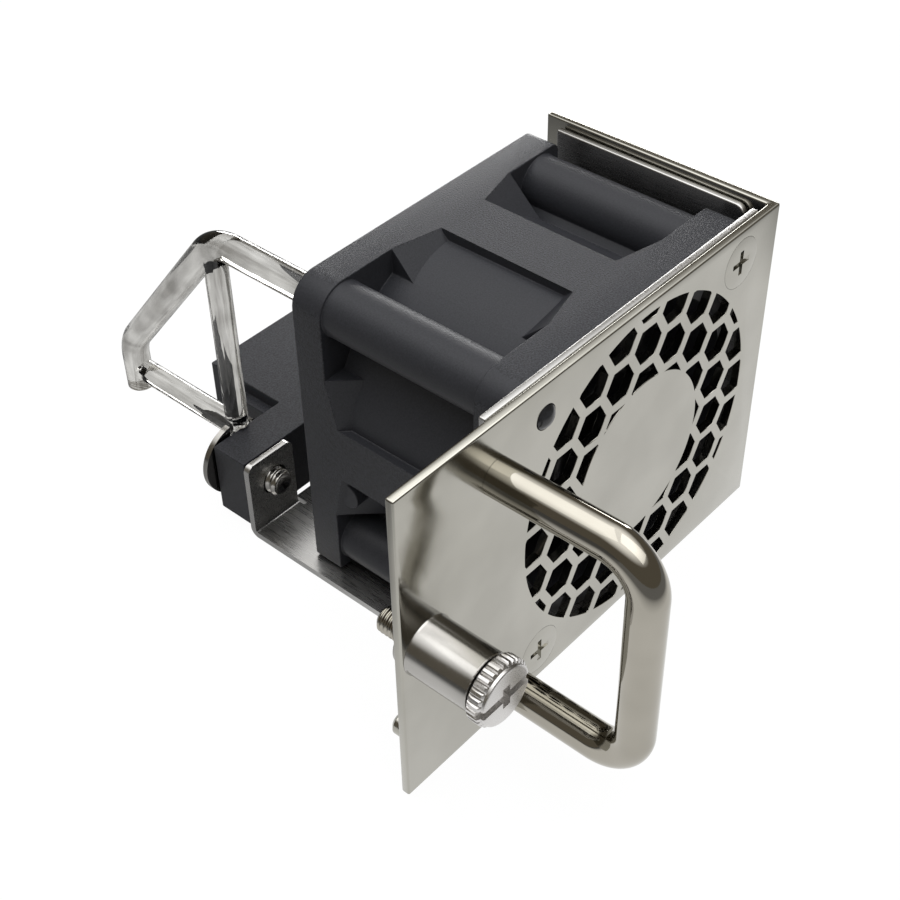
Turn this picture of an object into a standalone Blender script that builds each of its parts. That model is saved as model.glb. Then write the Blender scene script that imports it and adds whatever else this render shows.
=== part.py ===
"""Hot-swap fan tray for a network switch, built at real size.

Sizes are in millimetres in the panel frame: x runs right from the fascia's left edge, y runs back
from the fascia's front face and z runs up from the underside of the tray. The model's own origin
lies on that underside, straight below the middle of the fan.
"""
import math

import bmesh
import bpy
from mathutils import Matrix, Vector

MM = 0.001

# Clearances
SEAT_GAP = 0.25
RUNNING_GAP = 0.3
BLADE_TIP_GAP = 0.6

# Fascia sheet and its side flange
FASCIA_WIDTH = 59.2
FASCIA_HEIGHT = 40.0
FASCIA_SHEET = 1.0
FASCIA_BEND = 0.3
FLANGE_REACH = 30.1
EDGE_BREAK = 0.12
SHARPEST_BEND = 0.3

# Tray sheet
TRAY_SHEET = 0.8
TRAY_BEND = 1.1
TRAY_WALL_REACH = 23.5
TRAY_WALL_INSET = 1.35
TRAY_PLATE_REACH = 20.9
TRAY_SIDE_DROP = 0.8
TRAY_SIDE_FRONT = 3.0
TRAY_SIDE_CORNER = 3.0
TRAY_SIDE_SHORTER = 2.2
TRAY_LENGTH = 39.1
TRAY_END_RELIEF = 1.0
TAB_WIDTH = 6.9
TAB_HEIGHT = 10.5

# Fan frame
FAN_SIDE = 38.0
FAN_SIDE_GAP = 1.65
FAN_DEPTH = 28.0
FAN_HOLE_PITCH = 32.0
FAN_HOLE_RADIUS = 1.95
FAN_FLANGE = 4.0
FAN_CORNER_RADIUS = 3.4
FAN_RIGHT_CORNER = 1.1
FAN_FOOT_CORNER = 0.4
FAN_TUBE_RADIUS = 3.1
FAN_TUBE_INSET = 0.4
FAN_WEB = 2.4
DUCT_RADIUS = 17.2
DUCT_WALL = 0.9
BRIDGE_WIDTH = 6.9
BRIDGE_OFFSET = 1.15
LEAD_BOSS_RADIUS = 1.6
LEAD_BOSS_DROP = 7.05
LEAD_BOSS_FROM_REAR = 5.5
LEAD_BOSS_INSET = 0.7
MOTOR_BASE = 1.6
STRUT_COUNT = 4
STRUT_WIDTH = 1.8
STRUT_DEPTH = 2.6

# Rotor and motor, radii unless named otherwise
HUB_RADIUS = 9.75
HUB_WALL = 0.75
HUB_SETBACK = 1.0
HUB_CAP = 1.0
HUB_BOSS_RADIUS = 2.4
HUB_BOSS_DEPTH = 3.0
HUB_LENGTH = 23.3
BLADE_COUNT = 7
BLADE_SETBACK = 2.0
BLADE_LENGTH = 16.0
BLADE_SWEEP_DEG = 42.0
BLADE_THICKNESS = 0.9
BLADE_EDGE_SHARE = 0.55
SHAFT_RADIUS = 1.0
SHAFT_TAIL = 1.9
BEARING_RADIUS = 2.5
BEARING_LENGTH = 3.0
BEARING_LAND = 0.5
BEARING_TUBE_WALL = 0.75
BEARING_TUBE_FRONT = 5.9
CLIP_RADIUS = 1.9
CLIP_THICKNESS = 0.4
YOKE_WALL = 0.5
YOKE_LENGTH = 21.0
MAGNET_WALL = 1.1
MAGNET_LENGTH = 15.0
STATOR_HUB_WALL = 0.7
STATOR_LENGTH = 9.0
STATOR_FRONT = 10.0
TOOTH_COUNT = 4
TOOTH_WIDTH = 1.8
TOOTH_SHOE = 0.6
TOOTH_SHOE_WIDTH = 4.6
COIL_WALL = 0.6
BOARD_RADIUS = 8.6
BOARD_THICKNESS = 0.8

# Grille in the fascia
GRILLE_PITCH = 5.0
GRILLE_HEX_RADIUS = 2.25
GRILLE_RADIUS = 18.7
GRILLE_HUB_RADIUS = 10.1
TRAY_OPENING_RADIUS = 18.9

# Countersunk fan screws
FAN_SCREW_RADIUS = 1.5
FAN_SCREW_HEAD = 2.85
FAN_SCREW_LENGTH = 9.0
FAN_SCREW_TIP = 0.5
RECESS_SPAN = 2.6
RECESS_WIDTH = 0.55
RECESS_DEPTH = 0.6

# Pull handle and its screws
HANDLE_FROM_FAN = 23.05
HANDLE_SPAN = 27.3
HANDLE_REACH = 17.1
HANDLE_RADIUS = 2.0
HANDLE_BEND = 4.5
HANDLE_SCREW_RADIUS = 1.15
HANDLE_SCREW_DEPTH = 6.0
HANDLE_SCREW_HEAD = 2.25
HANDLE_SCREW_HEAD_TOP = 1.8
HANDLE_SCREW_HEAD_HEIGHT = 1.6

# Captive thumbscrew
THUMB_X = 3.54
THUMB_Z = 19.44
FERRULE_RADIUS = 3.175
FERRULE_LENGTH = 7.25
FERRULE_WALL = 0.62
FERRULE_LIP = 0.5
FERRULE_FLOOR = 0.35
FERRULE_NECK_RADIUS = 2.45
FERRULE_FLARE_RADIUS = 2.9
FERRULE_FLARE = 0.5
THUMB_SHANK_RADIUS = 1.45
THUMB_COLLAR_RADIUS = 2.2
THUMB_COLLAR = 0.5
THUMB_TRAVEL = 2.8
THUMB_HEAD_RADIUS = 3.55
THUMB_KNURL_LENGTH = 1.5
THUMB_FACE_LENGTH = 0.5
THUMB_FACE_RADIUS = 3.2
THUMB_FLUTE_COUNT = 30
THUMB_FLUTE_DEPTH = 0.18
THUMB_TIP_Y = 5.5
THUMB_TIP_CHAMFER = 0.4
SLOT_WIDTH = 0.9
SLOT_DEPTH = 0.8
WASHER_THICKNESS = 0.35
SPRING_WIRE_RADIUS = 0.2
SPRING_TURN_COUNT = 3

# Locating pin
PIN_X = 3.5
PIN_Z = 5.0
PIN_RADIUS = 1.3
PIN_TIP_Y = 4.4
PIN_CHAMFER = 0.4
PIN_POCKET_FLOOR = 0.4

# Light guide
GUIDE_RADIUS = 1.65
GUIDE_TIP_RADIUS = 1.25
GUIDE_TIP_PROUD = 0.2
GUIDE_PEAK_Y = 44.85
GUIDE_DROP_Y = 63.0
GUIDE_ELBOW_Z = 13.9
GUIDE_END_Z = 7.3
GUIDE_BEND = 6.0
GUIDE_STRUT_RADIUS = 1.35
GUIDE_STRUT_BEHIND_EAR = 0.85
GUIDE_FOOT_Z = 10.0
GUIDE_FOOT_RADIUS = 1.39

# Connector and its studs
CONNECTOR_HEIGHT = 10.4
EAR_DEPTH = 5.0
EAR_OVERHANG = 0.3
BODY_WIDTH = 20.4
BODY_DEPTH = 16.8
SHOULDER_WIDTH = 23.2
SHOULDER_DEPTH = 12.0
SHOULDER_HEIGHT = 8.9
BLADE_SLOT_COUNT = 6
BLADE_SLOT_PITCH = 3.0
BLADE_SLOT_WIDTH = 1.4
BLADE_SLOT_HEIGHT = 5.6
BLADE_SLOT_DEPTH = 9.0
BLADE_SLOT_BOTTOM = 2.6
STUD_FROM_EDGE = 3.8
STUD_Z = 6.5
STUD_RADIUS = 2.0
STUD_TIP_RADIUS = 1.45
STUD_REACH = 1.7
STUD_FLANGE_RADIUS = 4.8
STUD_FLANGE = 0.7
STUD_BUTTON_RADIUS = 1.7
STUD_BUTTON = 1.1

# Places that follow from the sizes above: the tray, the fan and the handle keep to the flange
TRAY_SIDE_X = FASCIA_WIDTH - FASCIA_SHEET - SEAT_GAP
TRAY_WALL_RIGHT = TRAY_SIDE_X - TRAY_WALL_INSET
TRAY_SIDE_END = FLANGE_REACH - TRAY_SIDE_SHORTER
FAN_AXIS_X = TRAY_SIDE_X - TRAY_SHEET - FAN_SIDE_GAP - FAN_SIDE / 2
TRAY_WALL_LEFT = FAN_AXIS_X - TRAY_WALL_REACH
TRAY_PLATE_LEFT = FAN_AXIS_X - TRAY_PLATE_REACH
HANDLE_X = FAN_AXIS_X - HANDLE_FROM_FAN
TRAY_FRONT_Y = FASCIA_SHEET + SEAT_GAP
TRAY_INNER_Y = TRAY_FRONT_Y + TRAY_SHEET
FAN_FRONT_Y = TRAY_INNER_Y + SEAT_GAP
FAN_REAR_Y = FAN_FRONT_Y + FAN_DEPTH
FAN_MID_Y = FAN_FRONT_Y + FAN_DEPTH / 2
FAN_AXIS_Z = TRAY_SHEET + SEAT_GAP + FAN_SIDE / 2
FAN_HOLE_OFFSET = FAN_HOLE_PITCH / 2
TRAY_BACK_Y = TRAY_LENGTH
TAB_INNER_Y = TRAY_BACK_Y - TRAY_SHEET
EAR_FRONT_Y = TRAY_BACK_Y + SEAT_GAP
EAR_BACK_Y = EAR_FRONT_Y + EAR_DEPTH
HALF_EAR_SPAN = FAN_AXIS_X - TRAY_PLATE_LEFT - EAR_OVERHANG
HANDLE_Z = FASCIA_HEIGHT / 2
GUIDE_X = FAN_AXIS_X - FAN_HOLE_OFFSET
GUIDE_TOP_Z = FAN_AXIS_Z + FAN_HOLE_OFFSET
GUIDE_STRUT_Y = EAR_BACK_Y + GUIDE_STRUT_BEHIND_EAR
MOTOR_BASE_Y = FAN_REAR_Y - MOTOR_BASE
HUB_FRONT_Y = FAN_FRONT_Y + HUB_SETBACK
HUB_REAR_Y = HUB_FRONT_Y + HUB_LENGTH
BEARING_BORE = BEARING_RADIUS + SEAT_GAP
BEARING_TUBE_RADIUS = BEARING_BORE + BEARING_TUBE_WALL
BEARING_TUBE_Y = FAN_FRONT_Y + BEARING_TUBE_FRONT
FRONT_BEARING_Y = BEARING_TUBE_Y + SEAT_GAP
REAR_LAND_Y = MOTOR_BASE_Y - BEARING_LENGTH - SEAT_GAP
REAR_BEARING_Y = REAR_LAND_Y + SEAT_GAP
YOKE_RADIUS = HUB_RADIUS - HUB_WALL - SEAT_GAP
MAGNET_RADIUS = YOKE_RADIUS - YOKE_WALL - SEAT_GAP
STATOR_RADIUS = MAGNET_RADIUS - MAGNET_WALL - RUNNING_GAP
STATOR_BORE = BEARING_TUBE_RADIUS + SEAT_GAP
STATOR_HUB = STATOR_BORE + STATOR_HUB_WALL
STATOR_Y = FAN_FRONT_Y + STATOR_FRONT

SMALL_ROUND_COUNT = 16
ROUND_COUNT = 24
RING_ROUND_COUNT = 32
FINE_ROUND_COUNT = 48
OVERCUT = 1.0

# Each plane turns a drawing's x, y and thickness axes into the panel frame's axes.
PLANES = {
    "XY": Matrix(((1, 0, 0), (0, 1, 0), (0, 0, 1))),
    "XZ": Matrix(((1, 0, 0), (0, 0, -1), (0, 1, 0))),
    "YZ": Matrix(((0, 0, 1), (1, 0, 0), (0, 1, 0))),
}


def world(x, y, z):
    """Return a panel-frame point in millimetres as a world point in metres."""
    return Vector(((x - FAN_AXIS_X) * MM, (y - FAN_MID_Y) * MM, z * MM))


def clear_scene():
    """Remove every object that the file starts with."""
    for obj in list(bpy.data.objects):
        bpy.data.objects.remove(obj, do_unlink=True)


def make_collection(name):
    """Add a named collection to the scene."""
    collection = bpy.data.collections.new(name)
    bpy.context.scene.collection.children.link(collection)
    return collection


def finish(name, colour, roughness, metallic=0.0, transmission=0.0):
    """Make one Principled material."""
    material = bpy.data.materials.new(name)
    material.use_nodes = True
    shader = material.node_tree.nodes["Principled BSDF"]
    shader.inputs["Base Color"].default_value = (*colour, 1.0)
    shader.inputs["Roughness"].default_value = roughness
    shader.inputs["Metallic"].default_value = metallic
    shader.inputs["Transmission Weight"].default_value = transmission
    return material


def as_part(obj, name, material):
    """Name an object, give it its material and keep it with the parts."""
    obj.name = name
    obj.data.name = name
    obj.data.materials.clear()
    obj.data.materials.append(material)
    if obj.name not in PARTS.objects:
        PARTS.objects.link(obj)
    obj.data.shade_smooth()
    obj.data.set_sharp_from_angle(angle=math.radians(35))
    return obj


def combine(target, tools, operation):
    """Combine a target with a group of tools in one exact Boolean.

    The tools stay hidden cutters, in a group of their own below the cutters' collection.
    """
    group = bpy.data.collections.new(f"{target.name}_{operation.lower()}")
    TOOLS.children.link(group)
    for tool in tools:
        group.objects.link(tool)
        tool.hide_render = True
        tool.display_type = "WIRE"
    modifier = target.modifiers.new(operation.title(), "BOOLEAN")
    modifier.operation = operation
    modifier.solver = "EXACT"
    modifier.operand_type = "COLLECTION"
    modifier.collection = group
    return target


def cut(target, *tools):
    """Cut the tools from the target."""
    return combine(target, tools, "DIFFERENCE")


def join(target, *tools):
    """Join the tools to the target."""
    return combine(target, tools, "UNION")


def mesh_object(name, mesh, location=(0, 0, 0)):
    """Make an object around a mesh."""
    obj = bpy.data.objects.new(name, mesh)
    obj.location = location
    return obj


def box(name, x_range, y_range, z_range):
    """Make a box between two values on each axis."""
    low = world(x_range[0], y_range[0], z_range[0])
    high = world(x_range[1], y_range[1], z_range[1])
    shape = bmesh.new()
    bmesh.ops.create_cube(shape, size=1.0, matrix=Matrix.Diagonal((*(high - low), 1.0)))
    mesh = bpy.data.meshes.new(name)
    shape.to_mesh(mesh)
    shape.free()
    return mesh_object(name, mesh, (low + high) / 2)


def rod(name, axis, start, end, radius, end_radius=None, segments=ROUND_COUNT):
    """Make a round bar or cone along one axis, between two panel-frame points."""
    low = world(*start)
    high = world(*end)
    turn = {"X": Matrix.Rotation(math.pi / 2, 4, "Y"), "Y": Matrix.Rotation(-math.pi / 2, 4, "X")}
    shape = bmesh.new()
    bmesh.ops.create_cone(
        shape,
        cap_ends=True,
        segments=segments,
        radius1=radius * MM,
        radius2=(radius if end_radius is None else end_radius) * MM,
        depth=(high - low).length,
        matrix=turn.get(axis, Matrix.Identity(4)),
    )
    mesh = bpy.data.meshes.new(name)
    shape.to_mesh(mesh)
    shape.free()
    return mesh_object(name, mesh, (low + high) / 2)


def turned(name, profile, centre, closed=False, segments=ROUND_COUNT):
    """Turn a profile about an axis along y.

    The profile lists (radius, y) points down the outer side, from the back to the front. A closed
    profile goes on up the inner side and makes a ring.
    """
    mesh = bpy.data.meshes.new(name)
    shape = bmesh.new()
    points = [shape.verts.new((radius * MM, 0, (y - centre[1]) * MM)) for radius, y in profile]
    for first, second in zip(points, points[1:]):
        shape.edges.new((first, second))
    if closed:
        shape.edges.new((points[-1], points[0]))
    shape.to_mesh(mesh)
    shape.free()
    obj = mesh_object(name, mesh, world(*centre))
    obj.rotation_euler = (-math.pi / 2, 0, 0)
    screw = obj.modifiers.new("Turn", "SCREW")
    screw.steps = segments
    screw.render_steps = segments
    screw.use_merge_vertices = True
    screw.merge_threshold = 0.000001
    return obj


def ring(name, centre, inner, outer, y_range, segments=ROUND_COUNT):
    """Turn a plain ring."""
    front, back = y_range
    profile = [(outer, back), (outer, front), (inner, front), (inner, back)]
    return turned(name, profile, centre, closed=True, segments=segments)


def arc(centre, radius, start_deg, end_deg, steps=6):
    """Return points along an arc of a drawing."""
    points = []
    for step in range(steps + 1):
        angle = math.radians(start_deg + (end_deg - start_deg) * step / steps)
        points.append((centre[0] + radius * math.cos(angle), centre[1] + radius * math.sin(angle)))
    return points


def settle(obj):
    """Replace an object by its evaluated mesh, with loose seams welded."""
    TOOLS.objects.link(obj)
    depsgraph = bpy.context.evaluated_depsgraph_get()
    mesh = bpy.data.meshes.new_from_object(obj.evaluated_get(depsgraph))
    shape = bmesh.new()
    shape.from_mesh(mesh)
    bmesh.ops.remove_doubles(shape, verts=shape.verts, dist=0.000001)
    shape.to_mesh(mesh)
    shape.free()
    solid = bpy.data.objects.new(obj.name, mesh)
    solid.matrix_world = obj.matrix_world.copy()
    bpy.data.objects.remove(obj, do_unlink=True)
    return solid


def sheet(name, outline, plane, start, end):
    """Extrude a flat drawing along its plane's third axis, from start to end."""
    curve = bpy.data.curves.new(name, "CURVE")
    curve.dimensions = "2D"
    curve.fill_mode = "BOTH"
    curve.extrude = abs(end - start) / 2 * MM
    spline = curve.splines.new("POLY")
    spline.points.add(len(outline) - 1)
    for point, (across, up) in zip(spline.points, outline):
        point.co = (across * MM, up * MM, 0, 1)
    spline.use_cyclic_u = True
    obj = bpy.data.objects.new(name, curve)
    middle = (start + end) / 2
    datum = {"XY": (0, 0, middle), "XZ": (0, middle, 0), "YZ": (middle, 0, 0)}[plane]
    obj.matrix_world = Matrix.Translation(world(*datum)) @ PLANES[plane].to_4x4()
    return settle(obj)


def tube(name, points, radius, bevel_resolution=4):
    """Sweep a round bar along panel-frame points."""
    curve = bpy.data.curves.new(name, "CURVE")
    curve.dimensions = "3D"
    curve.bevel_depth = radius * MM
    curve.bevel_resolution = bevel_resolution
    curve.use_fill_caps = True
    spline = curve.splines.new("POLY")
    spline.points.add(len(points) - 1)
    for point, place in zip(spline.points, points):
        point.co = (*world(*place), 1)
    return settle(bpy.data.objects.new(name, curve))


def filleted(corners, radius, steps=6):
    """Return a path of straight runs, with each inner corner rounded to a radius."""
    path = [Vector(corners[0])]
    for before, corner, after in zip(corners, corners[1:], corners[2:]):
        into = (Vector(before) - Vector(corner)).normalized()
        out = (Vector(after) - Vector(corner)).normalized()
        half = into.angle(out) / 2
        bisector = (into + out).normalized()
        centre = Vector(corner) + bisector * (radius / math.sin(half))
        first = Vector(corner) + into * (radius / math.tan(half)) - centre
        last = Vector(corner) + out * (radius / math.tan(half)) - centre
        pivot = first.cross(last).normalized()
        swing = first.angle(last)
        for step in range(steps + 1):
            path.append(centre + Matrix.Rotation(swing * step / steps, 3, pivot) @ first)
    path.append(Vector(corners[-1]))
    return path


def fan_hole(side, level):
    """Return the x and z of one corner hole of the fan; side and level are -1 or 1."""
    return FAN_AXIS_X + side * FAN_HOLE_OFFSET, FAN_AXIS_Z + level * FAN_HOLE_OFFSET


def grille_cutter():
    """Make the cutter for the fascia's hexagons, trimmed by a rim and a plain middle disc."""
    reach = int(GRILLE_RADIUS / GRILLE_PITCH) + 1
    shape = bmesh.new()
    for column in range(-reach, reach + 1):
        for row in range(-2 * reach, 2 * reach + 1):
            across = column * GRILLE_PITCH * math.cos(math.radians(30))
            up = (row + column / 2) * GRILLE_PITCH
            distance = math.hypot(across, up)
            if distance > GRILLE_RADIUS + GRILLE_HEX_RADIUS:
                continue
            if distance < GRILLE_HUB_RADIUS - GRILLE_HEX_RADIUS:
                continue
            place = Matrix.Translation((across * MM, 0, up * MM))
            turn = Matrix.Rotation(-math.pi / 2, 4, "X") @ Matrix.Rotation(math.pi / 6, 4, "Z")
            bmesh.ops.create_cone(
                shape,
                cap_ends=True,
                segments=6,
                radius1=GRILLE_HEX_RADIUS * MM,
                radius2=GRILLE_HEX_RADIUS * MM,
                depth=(FASCIA_SHEET + 2 * OVERCUT) * MM,
                matrix=place @ turn,
            )
    mesh = bpy.data.meshes.new("grille_hexagons")
    shape.to_mesh(mesh)
    shape.free()
    centre = (FAN_AXIS_X, FASCIA_SHEET / 2, FAN_AXIS_Z)
    hexagons = mesh_object("grille_hexagons", mesh, world(*centre))
    span = (-OVERCUT / 2, FASCIA_SHEET + OVERCUT / 2)
    rim = ring("grille_rim", centre, GRILLE_HUB_RADIUS, GRILLE_RADIUS, span, FINE_ROUND_COUNT)
    return combine(hexagons, [rim], "INTERSECT")


def through_rod(name, x, z, radius, y_range, segments=ROUND_COUNT):
    """Make a round cutter along y."""
    return rod(name, "Y", (x, y_range[0], z), (x, y_range[1], z), radius, segments=segments)


def make_fascia(material):
    """Fold the fascia and its flange, then cut the grille and every hole."""
    width = FASCIA_WIDTH
    inner_bend = max(FASCIA_BEND - FASCIA_SHEET, SHARPEST_BEND)
    outer = arc((width - FASCIA_BEND, FASCIA_BEND), FASCIA_BEND, -90, 0)
    inner_centre = (width - FASCIA_SHEET - inner_bend, FASCIA_SHEET + inner_bend)
    inner = arc(inner_centre, inner_bend, 0, -90)
    outline = [(0, 0)] + outer + [(width, FLANGE_REACH), (width - FASCIA_SHEET, FLANGE_REACH)]
    outline += inner + [(0, FASCIA_SHEET)]
    fascia = sheet("fascia_blank", outline, "XY", 0, FASCIA_HEIGHT)
    bevel = fascia.modifiers.new("Edge", "BEVEL")
    bevel.width = EDGE_BREAK * MM
    bevel.segments = 1
    bevel.limit_method = "ANGLE"
    bevel.angle_limit = math.radians(60)
    front_to_back = (-OVERCUT, FASCIA_SHEET + OVERCUT)
    led_x, led_z = fan_hole(-1, 1)
    led_radius = GUIDE_TIP_RADIUS + SEAT_GAP
    cutters = [
        grille_cutter(),
        through_rod("led_hole", led_x, led_z, led_radius, front_to_back),
    ]
    for name, side, level in (("upper_countersink", 1, 1), ("lower_countersink", -1, -1)):
        x, z = fan_hole(side, level)
        cone = rod(
            name,
            "Y",
            (x, -OVERCUT, z),
            (x, FASCIA_SHEET + OVERCUT, z),
            FAN_SCREW_HEAD + SEAT_GAP + OVERCUT * countersink_slope(),
            FAN_SCREW_RADIUS + SEAT_GAP - OVERCUT * countersink_slope(),
        )
        cutters.append(cone)
        cutters.append(through_rod(name + "_bore", x, z, FAN_HOLE_RADIUS, front_to_back))
    for name, level in (("upper_handle_hole", 1), ("lower_handle_hole", -1)):
        z = HANDLE_Z + level * HANDLE_SPAN / 2
        radius = HANDLE_SCREW_RADIUS + SEAT_GAP
        cutters.append(through_rod(name, HANDLE_X, z, radius, front_to_back, SMALL_ROUND_COUNT))
    neck_hole = FERRULE_NECK_RADIUS + SEAT_GAP
    cutters.append(through_rod("ferrule_hole", THUMB_X, THUMB_Z, neck_hole, front_to_back))
    pocket = (PIN_POCKET_FLOOR, FASCIA_SHEET + OVERCUT)
    cutters.append(through_rod("pin_pocket", PIN_X, PIN_Z, PIN_RADIUS + SEAT_GAP, pocket))
    cut(fascia, *cutters)
    return as_part(fascia, "front_fascia", material)


def countersink_slope():
    """Return how fast a countersunk head narrows, in mm of radius for each mm of depth."""
    return (FAN_SCREW_HEAD - FAN_SCREW_RADIUS) / FASCIA_SHEET


def make_tray(material):
    """Fold the tray: front wall, base plate, rear tabs and right wall."""
    top = FASCIA_HEIGHT
    front = TRAY_FRONT_Y
    back = TRAY_BACK_Y
    thick = TRAY_SHEET
    inner_bend = max(TRAY_BEND - thick, SHARPEST_BEND)
    channel = [(front, top)]
    channel += arc((front + TRAY_BEND, TRAY_BEND), TRAY_BEND, 180, 270)
    channel += arc((back - TRAY_BEND, TRAY_BEND), TRAY_BEND, 270, 360)
    channel += [(back, TAB_HEIGHT), (back - thick, TAB_HEIGHT)]
    channel += arc((back - thick - inner_bend, thick + inner_bend), inner_bend, 0, -90)
    channel += arc((front + thick + inner_bend, thick + inner_bend), inner_bend, 270, 180)
    channel += [(front + thick, top)]
    tray = sheet("tray_channel", channel, "YZ", TRAY_WALL_LEFT, TRAY_WALL_RIGHT)
    right_tab = 2 * FAN_AXIS_X - TRAY_PLATE_LEFT - TAB_WIDTH
    low = -OVERCUT
    cut(
        tray,
        box(
            "left_relief",
            (TRAY_WALL_LEFT - OVERCUT, TRAY_PLATE_LEFT),
            (front + thick, back + OVERCUT),
            (low, TAB_HEIGHT + OVERCUT),
        ),
        box(
            "tab_relief",
            (TRAY_PLATE_LEFT + TAB_WIDTH, right_tab),
            (TAB_INNER_Y - TRAY_END_RELIEF, back + OVERCUT),
            (low, TAB_HEIGHT + OVERCUT),
        ),
    )
    side_top = top - TRAY_SIDE_DROP
    side_outline = [(TRAY_SIDE_END, side_top), (TRAY_SIDE_END, thick / 2)]
    side_outline += [(TRAY_SIDE_FRONT, thick / 2)]
    corner = (TRAY_SIDE_FRONT + TRAY_SIDE_CORNER, side_top - TRAY_SIDE_CORNER)
    side_outline += arc(corner, TRAY_SIDE_CORNER, 180, 90)
    side_outline.reverse()
    wall = sheet("tray_side", side_outline, "YZ", TRAY_SIDE_X - thick, TRAY_SIDE_X)
    foot_centre = (TRAY_SIDE_X - TRAY_BEND, TRAY_BEND)
    foot = [(TRAY_WALL_RIGHT - OVERCUT, 0)]
    foot += arc(foot_centre, TRAY_BEND, 270, 360)
    foot += [(TRAY_SIDE_X, TRAY_BEND + OVERCUT), (TRAY_SIDE_X - thick, TRAY_BEND + OVERCUT)]
    foot += arc((TRAY_SIDE_X - thick - inner_bend, thick + inner_bend), inner_bend, 0, -90)
    foot += [(TRAY_WALL_RIGHT - OVERCUT, thick)]
    bend = sheet("tray_side_bend", foot, "XZ", TRAY_SIDE_FRONT, TRAY_SIDE_END)
    join(tray, bend, wall)
    opening = (front - OVERCUT, front + thick + OVERCUT)
    air = (FAN_AXIS_X, FAN_AXIS_Z, TRAY_OPENING_RADIUS)
    guide_hole = GUIDE_RADIUS + SEAT_GAP
    cutters = [
        through_rod("air_opening", *air, opening, FINE_ROUND_COUNT),
        through_rod("tray_guide_hole", GUIDE_X, GUIDE_TOP_Z, guide_hole, opening),
    ]
    for side, level in ((1, 1), (-1, -1)):
        x, z = fan_hole(side, level)
        cutters.append(through_rod("tray_screw_hole", x, z, FAN_HOLE_RADIUS, opening))
    for level in (-1, 1):
        z = HANDLE_Z + level * HANDLE_SPAN / 2
        notch = HANDLE_SCREW_HEAD + RUNNING_GAP
        cutters.append(through_rod("tray_handle_notch", HANDLE_X, z, notch, opening))
    for x in stud_places():
        hole = (TAB_INNER_Y - OVERCUT, back + OVERCUT)
        cutters.append(through_rod("tab_stud_hole", x, STUD_Z, STUD_RADIUS + SEAT_GAP, hole))
    cut(tray, *cutters)
    return as_part(tray, "tray_chassis", material)


def stud_places():
    """Return the x of the left and right connector studs."""
    left = TRAY_PLATE_LEFT + STUD_FROM_EDGE
    return left, 2 * FAN_AXIS_X - left


def fan_square(name, y_range):
    """Make a block with the fan frame's outline, whose upper left corner is the most rounded."""
    half = FAN_SIDE / 2
    corners = (
        (1, -1, FAN_FOOT_CORNER),
        (1, 1, FAN_RIGHT_CORNER),
        (-1, 1, FAN_CORNER_RADIUS),
        (-1, -1, FAN_FOOT_CORNER),
    )
    outline = []
    for quarter, (side, level, radius) in enumerate(corners):
        inset = half - radius
        centre = (FAN_AXIS_X + side * inset, FAN_AXIS_Z + level * inset)
        outline += arc(centre, radius, 90 * quarter - 90, 90 * quarter)
    return sheet(name, outline, "XZ", *y_range)


def pocket_cutter():
    """Make the cutter that leaves the duct, the corner tubes and the four bridges."""
    half = FAN_SIDE / 2 + OVERCUT
    y_range = (FAN_FRONT_Y + FAN_FLANGE, FAN_REAR_Y - FAN_FLANGE)
    over = (y_range[0] - OVERCUT, y_range[1] + OVERCUT)
    cutter = box(
        "fan_pockets",
        (FAN_AXIS_X - half, FAN_AXIS_X + half),
        y_range,
        (FAN_AXIS_Z - half, FAN_AXIS_Z + half),
    )
    duct = DUCT_RADIUS + DUCT_WALL
    keep = [through_rod("fan_duct_keep", FAN_AXIS_X, FAN_AXIS_Z, duct, over, FINE_ROUND_COUNT)]
    for side in (-1, 1):
        for level in (-1, 1):
            x, z = fan_hole(side, level)
            x -= side * FAN_TUBE_INSET
            z -= level * FAN_TUBE_INSET
            keep.append(through_rod("fan_tube_keep", x, z, FAN_TUBE_RADIUS, over))
            reach = math.hypot(FAN_HOLE_OFFSET, FAN_HOLE_OFFSET)
            web = box(
                "fan_web_keep",
                (FAN_AXIS_X + DUCT_RADIUS, FAN_AXIS_X + reach),
                over,
                (FAN_AXIS_Z - FAN_WEB / 2, FAN_AXIS_Z + FAN_WEB / 2),
            )
            keep.append(turned_about_fan(web, math.atan2(-level, side)))
    wide = BRIDGE_WIDTH / 2
    for quarter in range(4):
        # The top and bottom bridges are shifted to the right, the side bridges downwards.
        middle = FAN_AXIS_X + (BRIDGE_OFFSET if quarter < 2 else -BRIDGE_OFFSET)
        bridge = box(
            "fan_bridge_keep",
            (middle - wide, middle + wide),
            over,
            (FAN_AXIS_Z + DUCT_RADIUS - OVERCUT, FAN_AXIS_Z + half + OVERCUT),
        )
        keep.append(turned_about_fan(bridge, math.pi / 2 * quarter))
    return cut(cutter, *keep)


def turned_about_fan(obj, angle):
    """Turn an unturned object about the fan axis."""
    pivot = world(FAN_AXIS_X, FAN_MID_Y, FAN_AXIS_Z)
    obj.matrix_world = (
        Matrix.Translation(pivot)
        @ Matrix.Rotation(angle, 4, "Y")
        @ Matrix.Translation(obj.location - pivot)
    )
    return obj


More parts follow.
